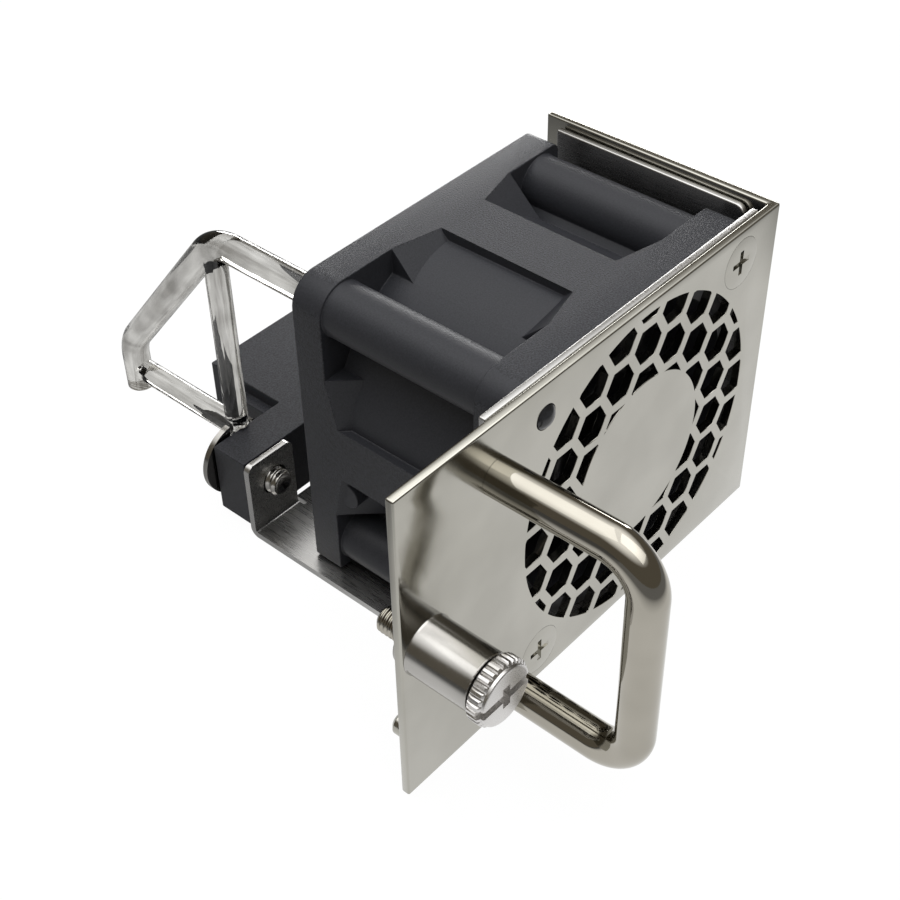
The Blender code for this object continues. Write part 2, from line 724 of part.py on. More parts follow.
def make_fan_housing(material):
    """Cut the fan frame from a block, then add the motor base, its struts and the bearing tube."""
    housing = fan_square("fan_block", (FAN_FRONT_Y, FAN_REAR_Y))
    bore = (FAN_FRONT_Y - OVERCUT, FAN_REAR_Y + OVERCUT)
    cutters = [
        pocket_cutter(),
        through_rod("fan_bore", FAN_AXIS_X, FAN_AXIS_Z, DUCT_RADIUS, bore, FINE_ROUND_COUNT),
    ]
    for side in (-1, 1):
        for level in (-1, 1):
            x, z = fan_hole(side, level)
            cutters.append(through_rod("fan_corner_hole", x, z, FAN_HOLE_RADIUS, bore))
    cut(housing, *cutters)
    boss_y = FAN_REAR_Y - LEAD_BOSS_FROM_REAR
    boss_z = FAN_AXIS_Z - LEAD_BOSS_DROP
    wall_mid = DUCT_RADIUS + DUCT_WALL / 2
    boss_inner = FAN_AXIS_X - math.sqrt(wall_mid ** 2 - LEAD_BOSS_DROP ** 2)
    boss_outer = FAN_AXIS_X - FAN_SIDE / 2 + LEAD_BOSS_INSET
    ends = ((boss_outer, boss_y, boss_z), (boss_inner, boss_y, boss_z))
    added = [rod("lead_boss", "X", *ends, LEAD_BOSS_RADIUS, segments=SMALL_ROUND_COUNT)]
    strut_y = (FAN_REAR_Y - STRUT_DEPTH, FAN_REAR_Y - SEAT_GAP)
    for k in range(STRUT_COUNT):
        strut = box(
            "motor_strut",
            (FAN_AXIS_X + HUB_RADIUS - OVERCUT, FAN_AXIS_X + wall_mid),
            strut_y,
            (FAN_AXIS_Z - STRUT_WIDTH / 2, FAN_AXIS_Z + STRUT_WIDTH / 2),
        )
        added.append(turned_about_fan(strut, math.tau * (k + 0.5) / STRUT_COUNT))
    centre = (FAN_AXIS_X, MOTOR_BASE_Y, FAN_AXIS_Z)
    land = BEARING_BORE - BEARING_LAND
    front_land = FRONT_BEARING_Y + BEARING_LENGTH + SEAT_GAP
    profile = [
        (HUB_RADIUS, FAN_REAR_Y),
        (HUB_RADIUS, MOTOR_BASE_Y),
        (BEARING_TUBE_RADIUS, MOTOR_BASE_Y),
        (BEARING_TUBE_RADIUS, BEARING_TUBE_Y),
        (BEARING_BORE, BEARING_TUBE_Y),
        (BEARING_BORE, front_land),
        (land, front_land),
        (land, REAR_LAND_Y),
        (BEARING_BORE, REAR_LAND_Y),
        (BEARING_BORE, FAN_REAR_Y),
    ]
    added.append(turned("motor_base", profile, centre, closed=True))
    join(housing, *added)
    return as_part(housing, "fan_housing", material)


def blade_mesh(name, angle):
    """Make one blade as a lofted helical plate about the fan axis, relative to the hub's origin."""
    inner = HUB_RADIUS - HUB_WALL / 2
    outer = DUCT_RADIUS - BLADE_TIP_GAP
    radii = [inner, (inner + outer) / 2, outer]
    chord_steps = 4
    start = BLADE_SETBACK
    shape = bmesh.new()
    sides = {}
    for half in (-1, 1):
        for i, radius in enumerate(radii):
            for j in range(chord_steps + 1):
                along = j / chord_steps
                sweep = math.radians(BLADE_SWEEP_DEG) * along
                taper = BLADE_EDGE_SHARE + (1 - BLADE_EDGE_SHARE) * math.sin(math.pi * along)
                shift = half * BLADE_THICKNESS / 2 * taper / radius
                turn = angle + sweep + shift
                point = (
                    radius * math.cos(turn) * MM,
                    (start + BLADE_LENGTH * along) * MM,
                    radius * math.sin(turn) * MM,
                )
                sides[half, i, j] = shape.verts.new(point)
    last_i = len(radii) - 1
    for i in range(last_i):
        for j in range(chord_steps):
            for half in (-1, 1):
                corners = [(i, j), (i + 1, j), (i + 1, j + 1), (i, j + 1)]
                shape.faces.new([sides[half, a, b] for a, b in corners])
    for j in range(chord_steps):
        for i in (0, last_i):
            quad = [(-1, i, j), (-1, i, j + 1), (1, i, j + 1), (1, i, j)]
            shape.faces.new([sides[key] for key in quad])
    for i in range(last_i):
        for j in (0, chord_steps):
            quad = [(-1, i, j), (-1, i + 1, j), (1, i + 1, j), (1, i, j)]
            shape.faces.new([sides[key] for key in quad])
    bmesh.ops.recalc_face_normals(shape, faces=shape.faces)
    mesh = bpy.data.meshes.new(name)
    shape.to_mesh(mesh)
    shape.free()
    return mesh_object(name, mesh, world(FAN_AXIS_X, HUB_FRONT_Y, FAN_AXIS_Z))


def make_impeller(material):
    """Turn the hub and join its blades."""
    centre = (FAN_AXIS_X, HUB_FRONT_Y, FAN_AXIS_Z)
    inner = HUB_RADIUS - HUB_WALL
    cap_back = HUB_FRONT_Y + HUB_CAP
    boss_back = cap_back + HUB_BOSS_DEPTH
    hole = SHAFT_RADIUS + SEAT_GAP
    profile = [
        (0, cap_back),
        (hole, cap_back),
        (hole, boss_back),
        (HUB_BOSS_RADIUS, boss_back),
        (HUB_BOSS_RADIUS, cap_back),
        (inner, cap_back),
        (inner, HUB_REAR_Y),
        (HUB_RADIUS, HUB_REAR_Y),
        (HUB_RADIUS, HUB_FRONT_Y),
        (0, HUB_FRONT_Y),
    ]
    hub = turned("hub_turned", profile, centre, segments=RING_ROUND_COUNT)
    join(hub, *[blade_mesh("blade", math.tau * k / BLADE_COUNT) for k in range(BLADE_COUNT)])
    return as_part(hub, "fan_impeller", material)


def make_rotor(steel, magnet, shaft_steel):
    """Make the yoke, magnet, shaft and clip that turn with the impeller."""
    cap_back = HUB_FRONT_Y + HUB_CAP
    centre = (FAN_AXIS_X, HUB_FRONT_Y, FAN_AXIS_Z)
    yoke_y = (cap_back + SEAT_GAP, cap_back + SEAT_GAP + YOKE_LENGTH)
    yoke_bore = YOKE_RADIUS - YOKE_WALL
    as_part(ring("yoke", centre, yoke_bore, YOKE_RADIUS, yoke_y, RING_ROUND_COUNT), "rotor_yoke", steel)
    magnet_middle = STATOR_Y + STATOR_LENGTH / 2
    magnet_y = (magnet_middle - MAGNET_LENGTH / 2, magnet_middle + MAGNET_LENGTH / 2)
    magnet_bore = MAGNET_RADIUS - MAGNET_WALL
    solid = ring("magnet", centre, magnet_bore, MAGNET_RADIUS, magnet_y, RING_ROUND_COUNT)
    as_part(solid, "rotor_magnet", magnet)
    shaft_y = (cap_back + SEAT_GAP, FAN_REAR_Y - SHAFT_TAIL)
    groove = SHAFT_RADIUS - SEAT_GAP
    clip_y = (REAR_BEARING_Y + BEARING_LENGTH + SEAT_GAP,)
    clip_y += (clip_y[0] + CLIP_THICKNESS,)
    profile = [
        (0, shaft_y[1]),
        (SHAFT_RADIUS, shaft_y[1]),
        (SHAFT_RADIUS, clip_y[1] + SEAT_GAP),
        (groove, clip_y[1] + SEAT_GAP),
        (groove, clip_y[0] - SEAT_GAP),
        (SHAFT_RADIUS, clip_y[0] - SEAT_GAP),
        (SHAFT_RADIUS, shaft_y[0]),
        (0, shaft_y[0]),
    ]
    as_part(turned("shaft", profile, centre, segments=ROUND_COUNT), "fan_shaft", shaft_steel)
    clip = ring("clip", centre, SHAFT_RADIUS, CLIP_RADIUS, clip_y, ROUND_COUNT)
    as_part(clip, "shaft_clip", shaft_steel)


def make_bearings(material):
    """Make the two bearings that carry the shaft in the bearing tube."""
    bore = SHAFT_RADIUS + SEAT_GAP
    for name, y in (("bearing_front", FRONT_BEARING_Y), ("bearing_rear", REAR_BEARING_Y)):
        centre = (FAN_AXIS_X, y, FAN_AXIS_Z)
        solid = ring(name + "_ring", centre, bore, BEARING_RADIUS, (y, y + BEARING_LENGTH), ROUND_COUNT)
        as_part(solid, name, material)


def make_stator(core_material, coil_material):
    """Make the toothed stator core and one winding around each tooth."""
    centre = (FAN_AXIS_X, STATOR_Y, FAN_AXIS_Z)
    span = (STATOR_Y, STATOR_Y + STATOR_LENGTH)
    core = ring("stator_ring", centre, STATOR_BORE, STATOR_HUB, span)
    added = []
    windows = []
    shoe_inner = STATOR_RADIUS - TOOTH_SHOE
    cap = ring("shoe_ring", centre, shoe_inner, STATOR_RADIUS, span)
    coil_span = (span[0] - COIL_WALL - SEAT_GAP, span[1] + COIL_WALL + SEAT_GAP)
    for k in range(TOOTH_COUNT):
        angle = math.tau * k / TOOTH_COUNT
        tooth = box(
            "tooth",
            (FAN_AXIS_X + STATOR_HUB - STATOR_HUB_WALL / 2, FAN_AXIS_X + shoe_inner + TOOTH_SHOE / 2),
            span,
            (FAN_AXIS_Z - TOOTH_WIDTH / 2, FAN_AXIS_Z + TOOTH_WIDTH / 2),
        )
        added.append(turned_about_fan(tooth, angle))
        window = box(
            "shoe_window",
            (FAN_AXIS_X, FAN_AXIS_X + STATOR_RADIUS + OVERCUT),
            (span[0] - OVERCUT, span[1] + OVERCUT),
            (FAN_AXIS_Z - TOOTH_SHOE_WIDTH / 2, FAN_AXIS_Z + TOOTH_SHOE_WIDTH / 2),
        )
        windows.append(turned_about_fan(window, angle))
        half = TOOTH_WIDTH / 2 + SEAT_GAP
        coil_reach = math.sqrt((shoe_inner - SEAT_GAP) ** 2 - (half + COIL_WALL) ** 2)
        winding = box(
            "winding",
            (FAN_AXIS_X + STATOR_HUB + SEAT_GAP, FAN_AXIS_X + coil_reach),
            coil_span,
            (FAN_AXIS_Z - half - COIL_WALL, FAN_AXIS_Z + half + COIL_WALL),
        )
        hollow = box(
            "winding_hollow",
            (FAN_AXIS_X + STATOR_HUB - OVERCUT, FAN_AXIS_X + STATOR_RADIUS),
            (span[0] - SEAT_GAP, span[1] + SEAT_GAP),
            (FAN_AXIS_Z - half, FAN_AXIS_Z + half),
        )
        cut(winding, turned_about_fan(hollow, angle))
        turned_about_fan(winding, angle)
        as_part(winding, f"stator_coil_{k + 1}", coil_material)
    shoe_gaps = ring("shoe_gaps", centre, shoe_inner - OVERCUT / 2, STATOR_RADIUS + OVERCUT,
                     (span[0] - OVERCUT / 2, span[1] + OVERCUT / 2))
    cut(shoe_gaps, *windows)
    added.append(cut(cap, shoe_gaps))
    join(core, *added)
    as_part(core, "stator_core", core_material)


def make_board(material):
    """Make the round motor circuit board in front of the motor base."""
    back = MOTOR_BASE_Y - SEAT_GAP
    centre = (FAN_AXIS_X, back, FAN_AXIS_Z)
    bore = BEARING_TUBE_RADIUS + SEAT_GAP
    solid = ring("board", centre, bore, BOARD_RADIUS, (back - BOARD_THICKNESS, back), RING_ROUND_COUNT)
    as_part(solid, "motor_circuit_board", material)


def cross_recess(name, x, z, front, span, width, depth):
    """Return the two cutters of a cross recess in a face that looks forward."""
    deep = (front - OVERCUT, front + depth)
    wide = (z - width / 2, z + width / 2)
    tall = (z - span / 2, z + span / 2)
    flat = box(name + "_flat", (x - span / 2, x + span / 2), deep, wide)
    upright = box(name + "_upright", (x - width / 2, x + width / 2), deep, tall)
    return flat, upright


def make_fan_screws(material):
    """Make the two countersunk screws that hold the fan to the fascia."""
    for name, side, level in (("fan_screw_upper", 1, 1), ("fan_screw_lower", -1, -1)):
        x, z = fan_hole(side, level)
        tip = FAN_SCREW_TIP
        profile = [
            (0, FAN_SCREW_LENGTH),
            (FAN_SCREW_RADIUS - tip, FAN_SCREW_LENGTH),
            (FAN_SCREW_RADIUS, FAN_SCREW_LENGTH - tip),
            (FAN_SCREW_RADIUS, FASCIA_SHEET),
            (FAN_SCREW_HEAD, 0),
            (0, 0),
        ]
        screw = turned(name + "_turned", profile, (x, 0, z))
        cut(screw, *cross_recess(name, x, z, 0, RECESS_SPAN, RECESS_WIDTH, RECESS_DEPTH))
        as_part(screw, name, material)


def make_handle(bar_material, screw_material):
    """Bend the handle and make the screws that hold its two legs from behind."""
    low = HANDLE_Z - HANDLE_SPAN / 2
    high = HANDLE_Z + HANDLE_SPAN / 2
    corners = [
        (HANDLE_X, -SEAT_GAP, low),
        (HANDLE_X, -HANDLE_REACH, low),
        (HANDLE_X, -HANDLE_REACH, high),
        (HANDLE_X, -SEAT_GAP, high),
    ]
    bar = tube("handle_bar", filleted(corners, HANDLE_BEND), HANDLE_RADIUS)
    bore = HANDLE_SCREW_RADIUS + SEAT_GAP
    head_y = FASCIA_SHEET + SEAT_GAP
    holes = []
    for name, z in (("handle_screw_upper", high), ("handle_screw_lower", low)):
        hole = (-HANDLE_SCREW_DEPTH - SEAT_GAP, OVERCUT)
        holes.append(through_rod(name + "_hole", HANDLE_X, z, bore, hole, SMALL_ROUND_COUNT))
        profile = [
            (0, head_y + HANDLE_SCREW_HEAD_HEIGHT),
            (HANDLE_SCREW_HEAD_TOP, head_y + HANDLE_SCREW_HEAD_HEIGHT),
            (HANDLE_SCREW_HEAD, head_y + HANDLE_SCREW_HEAD_HEIGHT / 2),
            (HANDLE_SCREW_HEAD, head_y),
            (HANDLE_SCREW_RADIUS, head_y),
            (HANDLE_SCREW_RADIUS, -HANDLE_SCREW_DEPTH),
            (0, -HANDLE_SCREW_DEPTH),
        ]
        as_part(turned(name + "_turned", profile, (HANDLE_X, 0, z)), name, screw_material)
    cut(bar, *holes)
    as_part(bar, "pull_handle", bar_material)


def make_thumbscrew(ferrule_material, screw_material, spring_material):
    """Make the staked ferrule, the captive screw in it, its thrust washer and its spring."""
    centre = (THUMB_X, 0, THUMB_Z)
    bore = THUMB_SHANK_RADIUS + SEAT_GAP
    front = -FERRULE_LENGTH
    cavity = FERRULE_RADIUS - FERRULE_WALL
    cavity_front = front + FERRULE_LIP
    cavity_back = -SEAT_GAP - FERRULE_FLOOR
    flare_front = FASCIA_SHEET + SEAT_GAP
    flare_back = flare_front + FERRULE_FLARE
    profile = [
        (FERRULE_FLARE_RADIUS, flare_back),
        (FERRULE_FLARE_RADIUS, flare_front),
        (FERRULE_NECK_RADIUS, flare_front),
        (FERRULE_NECK_RADIUS, -SEAT_GAP),
        (FERRULE_RADIUS, -SEAT_GAP),
        (FERRULE_RADIUS, front),
        (bore, front),
        (bore, cavity_front),
        (cavity, cavity_front),
        (cavity, cavity_back),
        (bore, cavity_back),
        (bore, flare_back),
    ]
    ferrule = turned("ferrule", profile, centre, closed=True)
    as_part(ferrule, "thumbscrew_ferrule", ferrule_material)

    collar_front = cavity_front + SEAT_GAP + THUMB_TRAVEL
    collar_back = collar_front + THUMB_COLLAR
    head_back = front - SEAT_GAP
    head_front = head_back - THUMB_KNURL_LENGTH - THUMB_FACE_LENGTH
    knurl_front = head_back - THUMB_KNURL_LENGTH
    neck = THUMB_HEAD_RADIUS - 2 * THUMB_FLUTE_DEPTH
    shank = THUMB_SHANK_RADIUS
    profile = [
        (0, THUMB_TIP_Y),
        (shank - THUMB_TIP_CHAMFER, THUMB_TIP_Y),
        (shank, THUMB_TIP_Y - THUMB_TIP_CHAMFER),
        (shank, collar_back),
        (THUMB_COLLAR_RADIUS, collar_back),
        (THUMB_COLLAR_RADIUS, collar_front),
        (shank, collar_front),
        (shank, head_back),
        (neck, head_back),
        (neck, knurl_front),
        (THUMB_FACE_RADIUS, head_front),
        (0, head_front),
    ]
    screw = turned("thumbscrew_turned", profile, centre)
    knurl = []
    for k in range(2 * THUMB_FLUTE_COUNT):
        angle = math.tau * k / (2 * THUMB_FLUTE_COUNT)
        radius = THUMB_HEAD_RADIUS - THUMB_FLUTE_DEPTH * (1 - math.cos(THUMB_FLUTE_COUNT * angle))
        knurl.append((THUMB_X + radius * math.cos(angle), THUMB_Z + radius * math.sin(angle)))
    join(screw, sheet("knurl", knurl, "XZ", knurl_front, head_back))
    slot = box(
        "thumb_slot",
        (THUMB_X - THUMB_HEAD_RADIUS - OVERCUT, THUMB_X + THUMB_HEAD_RADIUS + OVERCUT),
        (head_front - OVERCUT, head_front + SLOT_DEPTH),
        (THUMB_Z - SLOT_WIDTH / 2, THUMB_Z + SLOT_WIDTH / 2),
    )
    cross = cross_recess("thumb", THUMB_X, THUMB_Z, head_front, RECESS_SPAN, SLOT_WIDTH, SLOT_DEPTH)
    cut(screw, slot, cross[1])
    as_part(screw, "thumbscrew", screw_material)

    washer_front = collar_back + SEAT_GAP
    washer_back = washer_front + WASHER_THICKNESS
    washer = ring("washer", (THUMB_X, washer_front, THUMB_Z), bore, THUMB_COLLAR_RADIUS,
                  (washer_front, washer_back))
    as_part(washer, "thrust_washer", spring_material)

    coil_radius = (bore + cavity) / 2
    first = washer_back + SEAT_GAP + SPRING_WIRE_RADIUS
    last = cavity_back - SEAT_GAP - SPRING_WIRE_RADIUS
    points = []
    steps = 12 * SPRING_TURN_COUNT
    for step in range(steps + 1):
        angle = math.tau * SPRING_TURN_COUNT * step / steps
        y = first + (last - first) * step / steps
        x = THUMB_X + coil_radius * math.cos(angle)
        points.append((x, y, THUMB_Z + coil_radius * math.sin(angle)))
    spring = tube("spring", points, SPRING_WIRE_RADIUS, bevel_resolution=2)
    as_part(spring, "thumbscrew_spring", spring_material)


def make_pin(material):
    """Turn the locating pin behind the fascia's lower left corner."""
    front = PIN_POCKET_FLOOR + SEAT_GAP
    profile = [
        (0, PIN_TIP_Y),
        (PIN_RADIUS - PIN_CHAMFER, PIN_TIP_Y),
        (PIN_RADIUS, PIN_TIP_Y - PIN_CHAMFER),
        (PIN_RADIUS, front),
        (0, front),
    ]
    as_part(turned("pin", profile, (PIN_X, 0, PIN_Z)), "locating_pin", material)


def make_light_guide(material):
    """Sweep the clear light guide: main run, strut and foot joined into one moulding."""
    start = FASCIA_SHEET + SEAT_GAP
    corners = [
        (GUIDE_X, start, GUIDE_TOP_Z),
        (GUIDE_X, GUIDE_PEAK_Y, GUIDE_TOP_Z),
        (GUIDE_X, GUIDE_DROP_Y, GUIDE_ELBOW_Z),
        (GUIDE_X, GUIDE_DROP_Y, GUIDE_END_Z),
    ]
    guide = tube("guide_run", filleted(corners, GUIDE_BEND), GUIDE_RADIUS)
    tip = through_rod(
        "guide_tip", GUIDE_X, GUIDE_TOP_Z, GUIDE_TIP_RADIUS, (-GUIDE_TIP_PROUD, start + OVERCUT)
    )
    strut = tube(
        "guide_strut",
        [(GUIDE_X, GUIDE_STRUT_Y, GUIDE_TOP_Z), (GUIDE_X, GUIDE_STRUT_Y, GUIDE_FOOT_Z)],
        GUIDE_STRUT_RADIUS,
    )
    foot = tube(
        "guide_foot",
        [(GUIDE_X, EAR_BACK_Y + SEAT_GAP, GUIDE_FOOT_Z), (GUIDE_X, GUIDE_DROP_Y, GUIDE_FOOT_Z)],
        GUIDE_FOOT_RADIUS,
    )
    join(guide, tip, foot, strut)
    # The strut stands just above the ear, so its front half is trimmed there.
    trim = box(
        "guide_trim",
        (GUIDE_X - 2 * GUIDE_RADIUS, GUIDE_X + 2 * GUIDE_RADIUS),
        (EAR_FRONT_Y, EAR_BACK_Y + SEAT_GAP),
        (GUIDE_FOOT_Z - 2 * GUIDE_RADIUS, CONNECTOR_HEIGHT + SEAT_GAP),
    )
    cut(guide, trim)
    return as_part(guide, "light_guide", material)


def make_connector(plastic, contact_material):
    """Make the connector's moulding with its ears and blade slots, and the blades in them."""
    bottom = TRAY_SHEET + SEAT_GAP
    housing = box(
        "connector_ears",
        (FAN_AXIS_X - HALF_EAR_SPAN, FAN_AXIS_X + HALF_EAR_SPAN),
        (EAR_FRONT_Y, EAR_BACK_Y),
        (bottom, CONNECTOR_HEIGHT),
    )
    back = EAR_FRONT_Y + BODY_DEPTH
    lap = OVERCUT / 2
    body = box(
        "connector_body",
        (FAN_AXIS_X - BODY_WIDTH / 2, FAN_AXIS_X + BODY_WIDTH / 2),
        (EAR_BACK_Y - lap, back),
        (bottom, CONNECTOR_HEIGHT),
    )
    shoulder = box(
        "connector_shoulder",
        (FAN_AXIS_X - SHOULDER_WIDTH / 2, FAN_AXIS_X + SHOULDER_WIDTH / 2),
        (EAR_BACK_Y - lap, EAR_FRONT_Y + SHOULDER_DEPTH),
        (bottom, SHOULDER_HEIGHT),
    )
    join(housing, body, shoulder)
    cutters = []
    for k in range(BLADE_SLOT_COUNT):
        x = FAN_AXIS_X + (k - (BLADE_SLOT_COUNT - 1) / 2) * BLADE_SLOT_PITCH
        half = BLADE_SLOT_WIDTH / 2
        z_range = (BLADE_SLOT_BOTTOM, BLADE_SLOT_BOTTOM + BLADE_SLOT_HEIGHT)
        floor = back - BLADE_SLOT_DEPTH
        cutters.append(box("blade_slot", (x - half, x + half), (floor, back + OVERCUT), z_range))
        blade = box(
            "contact_blade",
            (x - half + RUNNING_GAP, x + half - RUNNING_GAP),
            (floor + SEAT_GAP, back - OVERCUT),
            (z_range[0] + RUNNING_GAP, z_range[1] - RUNNING_GAP),
        )
        as_part(blade, f"contact_blade_{k + 1}", contact_material)
    for x in stud_places():
        hole = (EAR_FRONT_Y - OVERCUT, EAR_BACK_Y + OVERCUT)
        cutters.append(through_rod("ear_hole", x, STUD_Z, STUD_RADIUS + SEAT_GAP, hole))
    cut(housing, *cutters)
    as_part(housing, "connector_housing", plastic)


def make_studs(material):
    """Make the flanged studs that clamp the connector's ears to the tray's tabs."""
    tip_y = TAB_INNER_Y - STUD_REACH
    flange_front = EAR_BACK_Y + SEAT_GAP
    flange_back = flange_front + STUD_FLANGE
    chamfer = STUD_RADIUS - STUD_TIP_RADIUS
    for name, x in zip(("connector_stud_left", "connector_stud_right"), stud_places()):
        profile = [
            (0, flange_back + STUD_BUTTON),
            (STUD_BUTTON_RADIUS, flange_back + STUD_BUTTON),
            (STUD_BUTTON_RADIUS, flange_back),
            (STUD_FLANGE_RADIUS, flange_back),
            (STUD_FLANGE_RADIUS, flange_front),
            (STUD_RADIUS, flange_front),
            (STUD_RADIUS, tip_y + chamfer),
            (STUD_TIP_RADIUS, tip_y),
            (0, tip_y),
        ]
        stud = turned(name + "_turned", profile, (x, flange_front, STUD_Z))
        reach = max(GUIDE_STRUT_RADIUS, GUIDE_FOOT_RADIUS) + RUNNING_GAP
        notch = box(
            name + "_notch",
            (GUIDE_X - reach, GUIDE_X + reach),
            (flange_front - OVERCUT, flange_back + STUD_BUTTON + OVERCUT),
            (GUIDE_FOOT_Z - reach, STUD_Z + STUD_FLANGE_RADIUS + OVERCUT),
        )
        if x < FAN_AXIS_X:
            cut(stud, notch)
        as_part(stud, name, material)


def build():
    """Build every sub-part with its own material."""
    bright = finish("fascia_steel", (0.36, 0.35, 0.33), 0.22, 1.0)
    tray_steel = finish("tray_steel", (0.40, 0.40, 0.40), 0.25, 1.0)
    polished = finish("handle_steel", (0.55, 0.54, 0.51), 0.08, 1.0)
    screw_steel = finish("screw_steel", (0.45, 0.45, 0.44), 0.2, 1.0)
    spring_steel = finish("spring_steel", (0.4, 0.4, 0.4), 0.3, 1.0)
    frame_plastic = finish("fan_frame_plastic", (0.03, 0.03, 0.033), 0.55)
    blade_plastic = finish("fan_blade_plastic", (0.008, 0.008, 0.009), 0.45)
    rotor_steel = finish("rotor_steel", (0.3, 0.3, 0.3), 0.4, 1.0)
    ferrite = finish("ferrite", (0.05, 0.045, 0.045), 0.6)
    laminate = finish("stator_steel", (0.2, 0.2, 0.22), 0.45, 1.0)
    copper = finish("copper_winding", (0.6, 0.22, 0.08), 0.3, 1.0)
    bearing_steel = finish("bearing_steel", (0.6, 0.6, 0.6), 0.2, 1.0)
    board_green = finish("circuit_board", (0.02, 0.12, 0.05), 0.4)
    clear = finish("clear_acrylic", (0.95, 0.95, 0.95), 0.03, 0.0, 1.0)
    black = finish("connector_plastic", (0.015, 0.015, 0.016), 0.4)
    gold = finish("contact_gold", (0.8, 0.55, 0.2), 0.2, 1.0)
    make_fascia(bright)
    make_tray(tray_steel)
    make_handle(polished, screw_steel)
    make_thumbscrew(bright, polished, spring_steel)
    make_pin(screw_steel)
    make_fan_housing(frame_plastic)
    make_impeller(blade_plastic)
    make_rotor(rotor_steel, ferrite, bearing_steel)
    make_bearings(bearing_steel)
    make_stator(laminate, copper)
    make_board(board_green)
    make_fan_screws(screw_steel)
    make_light_guide(clear)
    make_connector(black, gold)
    make_studs(screw_steel)


clear_scene()
PARTS = make_collection("switch_fan_tray")
TOOLS = make_collection("switch_fan_tray_cutters")
build()
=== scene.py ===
"""Render scene of a hot-swap fan tray for a network switch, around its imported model.

Sizes are in millimetres in the panel frame: x runs right from the fascia's left edge, y runs back
from the fascia's front face and z runs up from the underside of the tray.
"""
import logging
import math
from dataclasses import dataclass, field
from enum import Enum

import bmesh
import bpy
import numpy as np
from mathutils import Matrix, Vector


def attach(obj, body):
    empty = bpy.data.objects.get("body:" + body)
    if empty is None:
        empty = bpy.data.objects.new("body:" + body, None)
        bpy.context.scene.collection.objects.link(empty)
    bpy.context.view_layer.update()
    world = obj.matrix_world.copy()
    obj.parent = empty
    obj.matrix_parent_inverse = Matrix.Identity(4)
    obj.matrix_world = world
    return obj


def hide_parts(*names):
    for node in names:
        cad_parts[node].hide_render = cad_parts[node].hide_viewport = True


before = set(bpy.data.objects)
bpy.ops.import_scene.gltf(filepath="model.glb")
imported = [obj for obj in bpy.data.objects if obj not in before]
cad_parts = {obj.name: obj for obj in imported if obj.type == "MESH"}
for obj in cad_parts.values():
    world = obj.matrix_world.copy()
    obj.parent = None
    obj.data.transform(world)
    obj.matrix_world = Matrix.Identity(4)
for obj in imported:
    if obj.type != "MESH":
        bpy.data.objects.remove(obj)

Pair = tuple[float, float]
Triple = tuple[float, float, float]
Solid = bpy.types.Object
Look = bpy.types.Material
Tree = bpy.types.NodeTree
Socket = bpy.types.NodeSocket

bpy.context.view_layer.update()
LOG = logging.getLogger("fan_tray")

MM = 0.001
ORIGIN = np.array((36.5, 16.3, 0.0))
FAN_AXIS = (36.5, 20.05)
FAN_X, FAN_Z = FAN_AXIS
FAN_FRONT = 2.3
FAN_REAR = 30.3
HOLE_OFFSET = 16.0
SCREW_AXIS = (3.54, 19.44)
PIN_AXIS = (3.5, 5.0)
SHEET = 1.0
PANEL_HEIGHT = 40.0
OVERCUT = 1.0
QUARTER = math.pi / 2
CORNERS = ((-1, -1), (-1, 1), (1, -1), (1, 1))
EVEN = (1.0, 1.0, 1.0)


class Plane(Enum):
    """The panel axes that a flat drawing's across, up and thickness run along."""

    PLAN = (0, 1, 2)
    ELEVATION = (0, 2, 1)
    SIDE = (1, 2, 0)


class Body(Enum):
    """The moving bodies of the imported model."""

    TRAY = "tray"
    ROTOR = "rotor"
    SCREW = "screw"


# Mesh makers


def fan_hole(side: int, level: int) -> Pair:
    """Return the x and z of one corner hole of the fan; side and level are -1 or 1."""
    return FAN_X + side * HOLE_OFFSET, FAN_Z + level * HOLE_OFFSET


def spun(points: np.ndarray, angle: float) -> np.ndarray:
    """Turn points about the fan's axis.

    The x and z offsets from the axis are multiplied by a plane rotation; y stays.

    Args:
        points: Panel-frame points, in the last dimension.
        angle: Turn in radians, from the top towards the right.

    Returns:
        The turned points.
    """
    turned = points.copy()
    across = points[..., 0] - FAN_X
    up = points[..., 2] - FAN_Z
    turned[..., 0] = FAN_X + across * math.cos(angle) + up * math.sin(angle)
    turned[..., 2] = FAN_Z - across * math.sin(angle) + up * math.cos(angle)
    return turned


def solid(name: str, points: np.ndarray, faces: list[list[int]]) -> Solid:
    """Make a mesh from panel-frame points in mm, with its doubled points merged and its faces outward."""
    mesh = bpy.data.meshes.new(name)
    mesh.from_pydata(((points.reshape(-1, 3) - ORIGIN) * MM).tolist(), [], faces)
    shape = bmesh.new()
    shape.from_mesh(mesh)
    bmesh.ops.remove_doubles(shape, verts=shape.verts, dist=1e-8)
    bmesh.ops.recalc_face_normals(shape, faces=shape.faces)
    shape.to_mesh(mesh)
    shape.free()
    return bpy.data.objects.new(name, mesh)


def loft(name: str, rings: np.ndarray, closed: bool = False) -> Solid:
    """Join a stack of rings into a closed mesh.

    Each ring is joined to the next by quads. An open stack gets a flat cap on each end, unless that
    end is a single point.

    Args:
        name: The object's name.
        rings: Panel-frame points, ring by ring, as an array of rings x points x 3.
        closed: True where the last ring joins the first.

    Returns:
        The object, at the origin, with its place in its mesh.
    """
    rows, columns = rings.shape[:2]
    index = np.arange(rows * columns).reshape(rows, columns)
    lower, upper = (index, np.roll(index, -1, 0)) if closed else (index[:-1], index[1:])
    corners = (lower, np.roll(lower, -1, 1), np.roll(upper, -1, 1), upper)
    faces = np.stack(corners, axis=-1).reshape(-1, 4).tolist()
    if not closed:
        for ring, order in ((0, -1), (rows - 1, 1)):
            if np.ptp(rings[ring], axis=0).max() > 1e-6:
                faces.append(index[ring][::order].tolist())
    return solid(name, rings, faces)


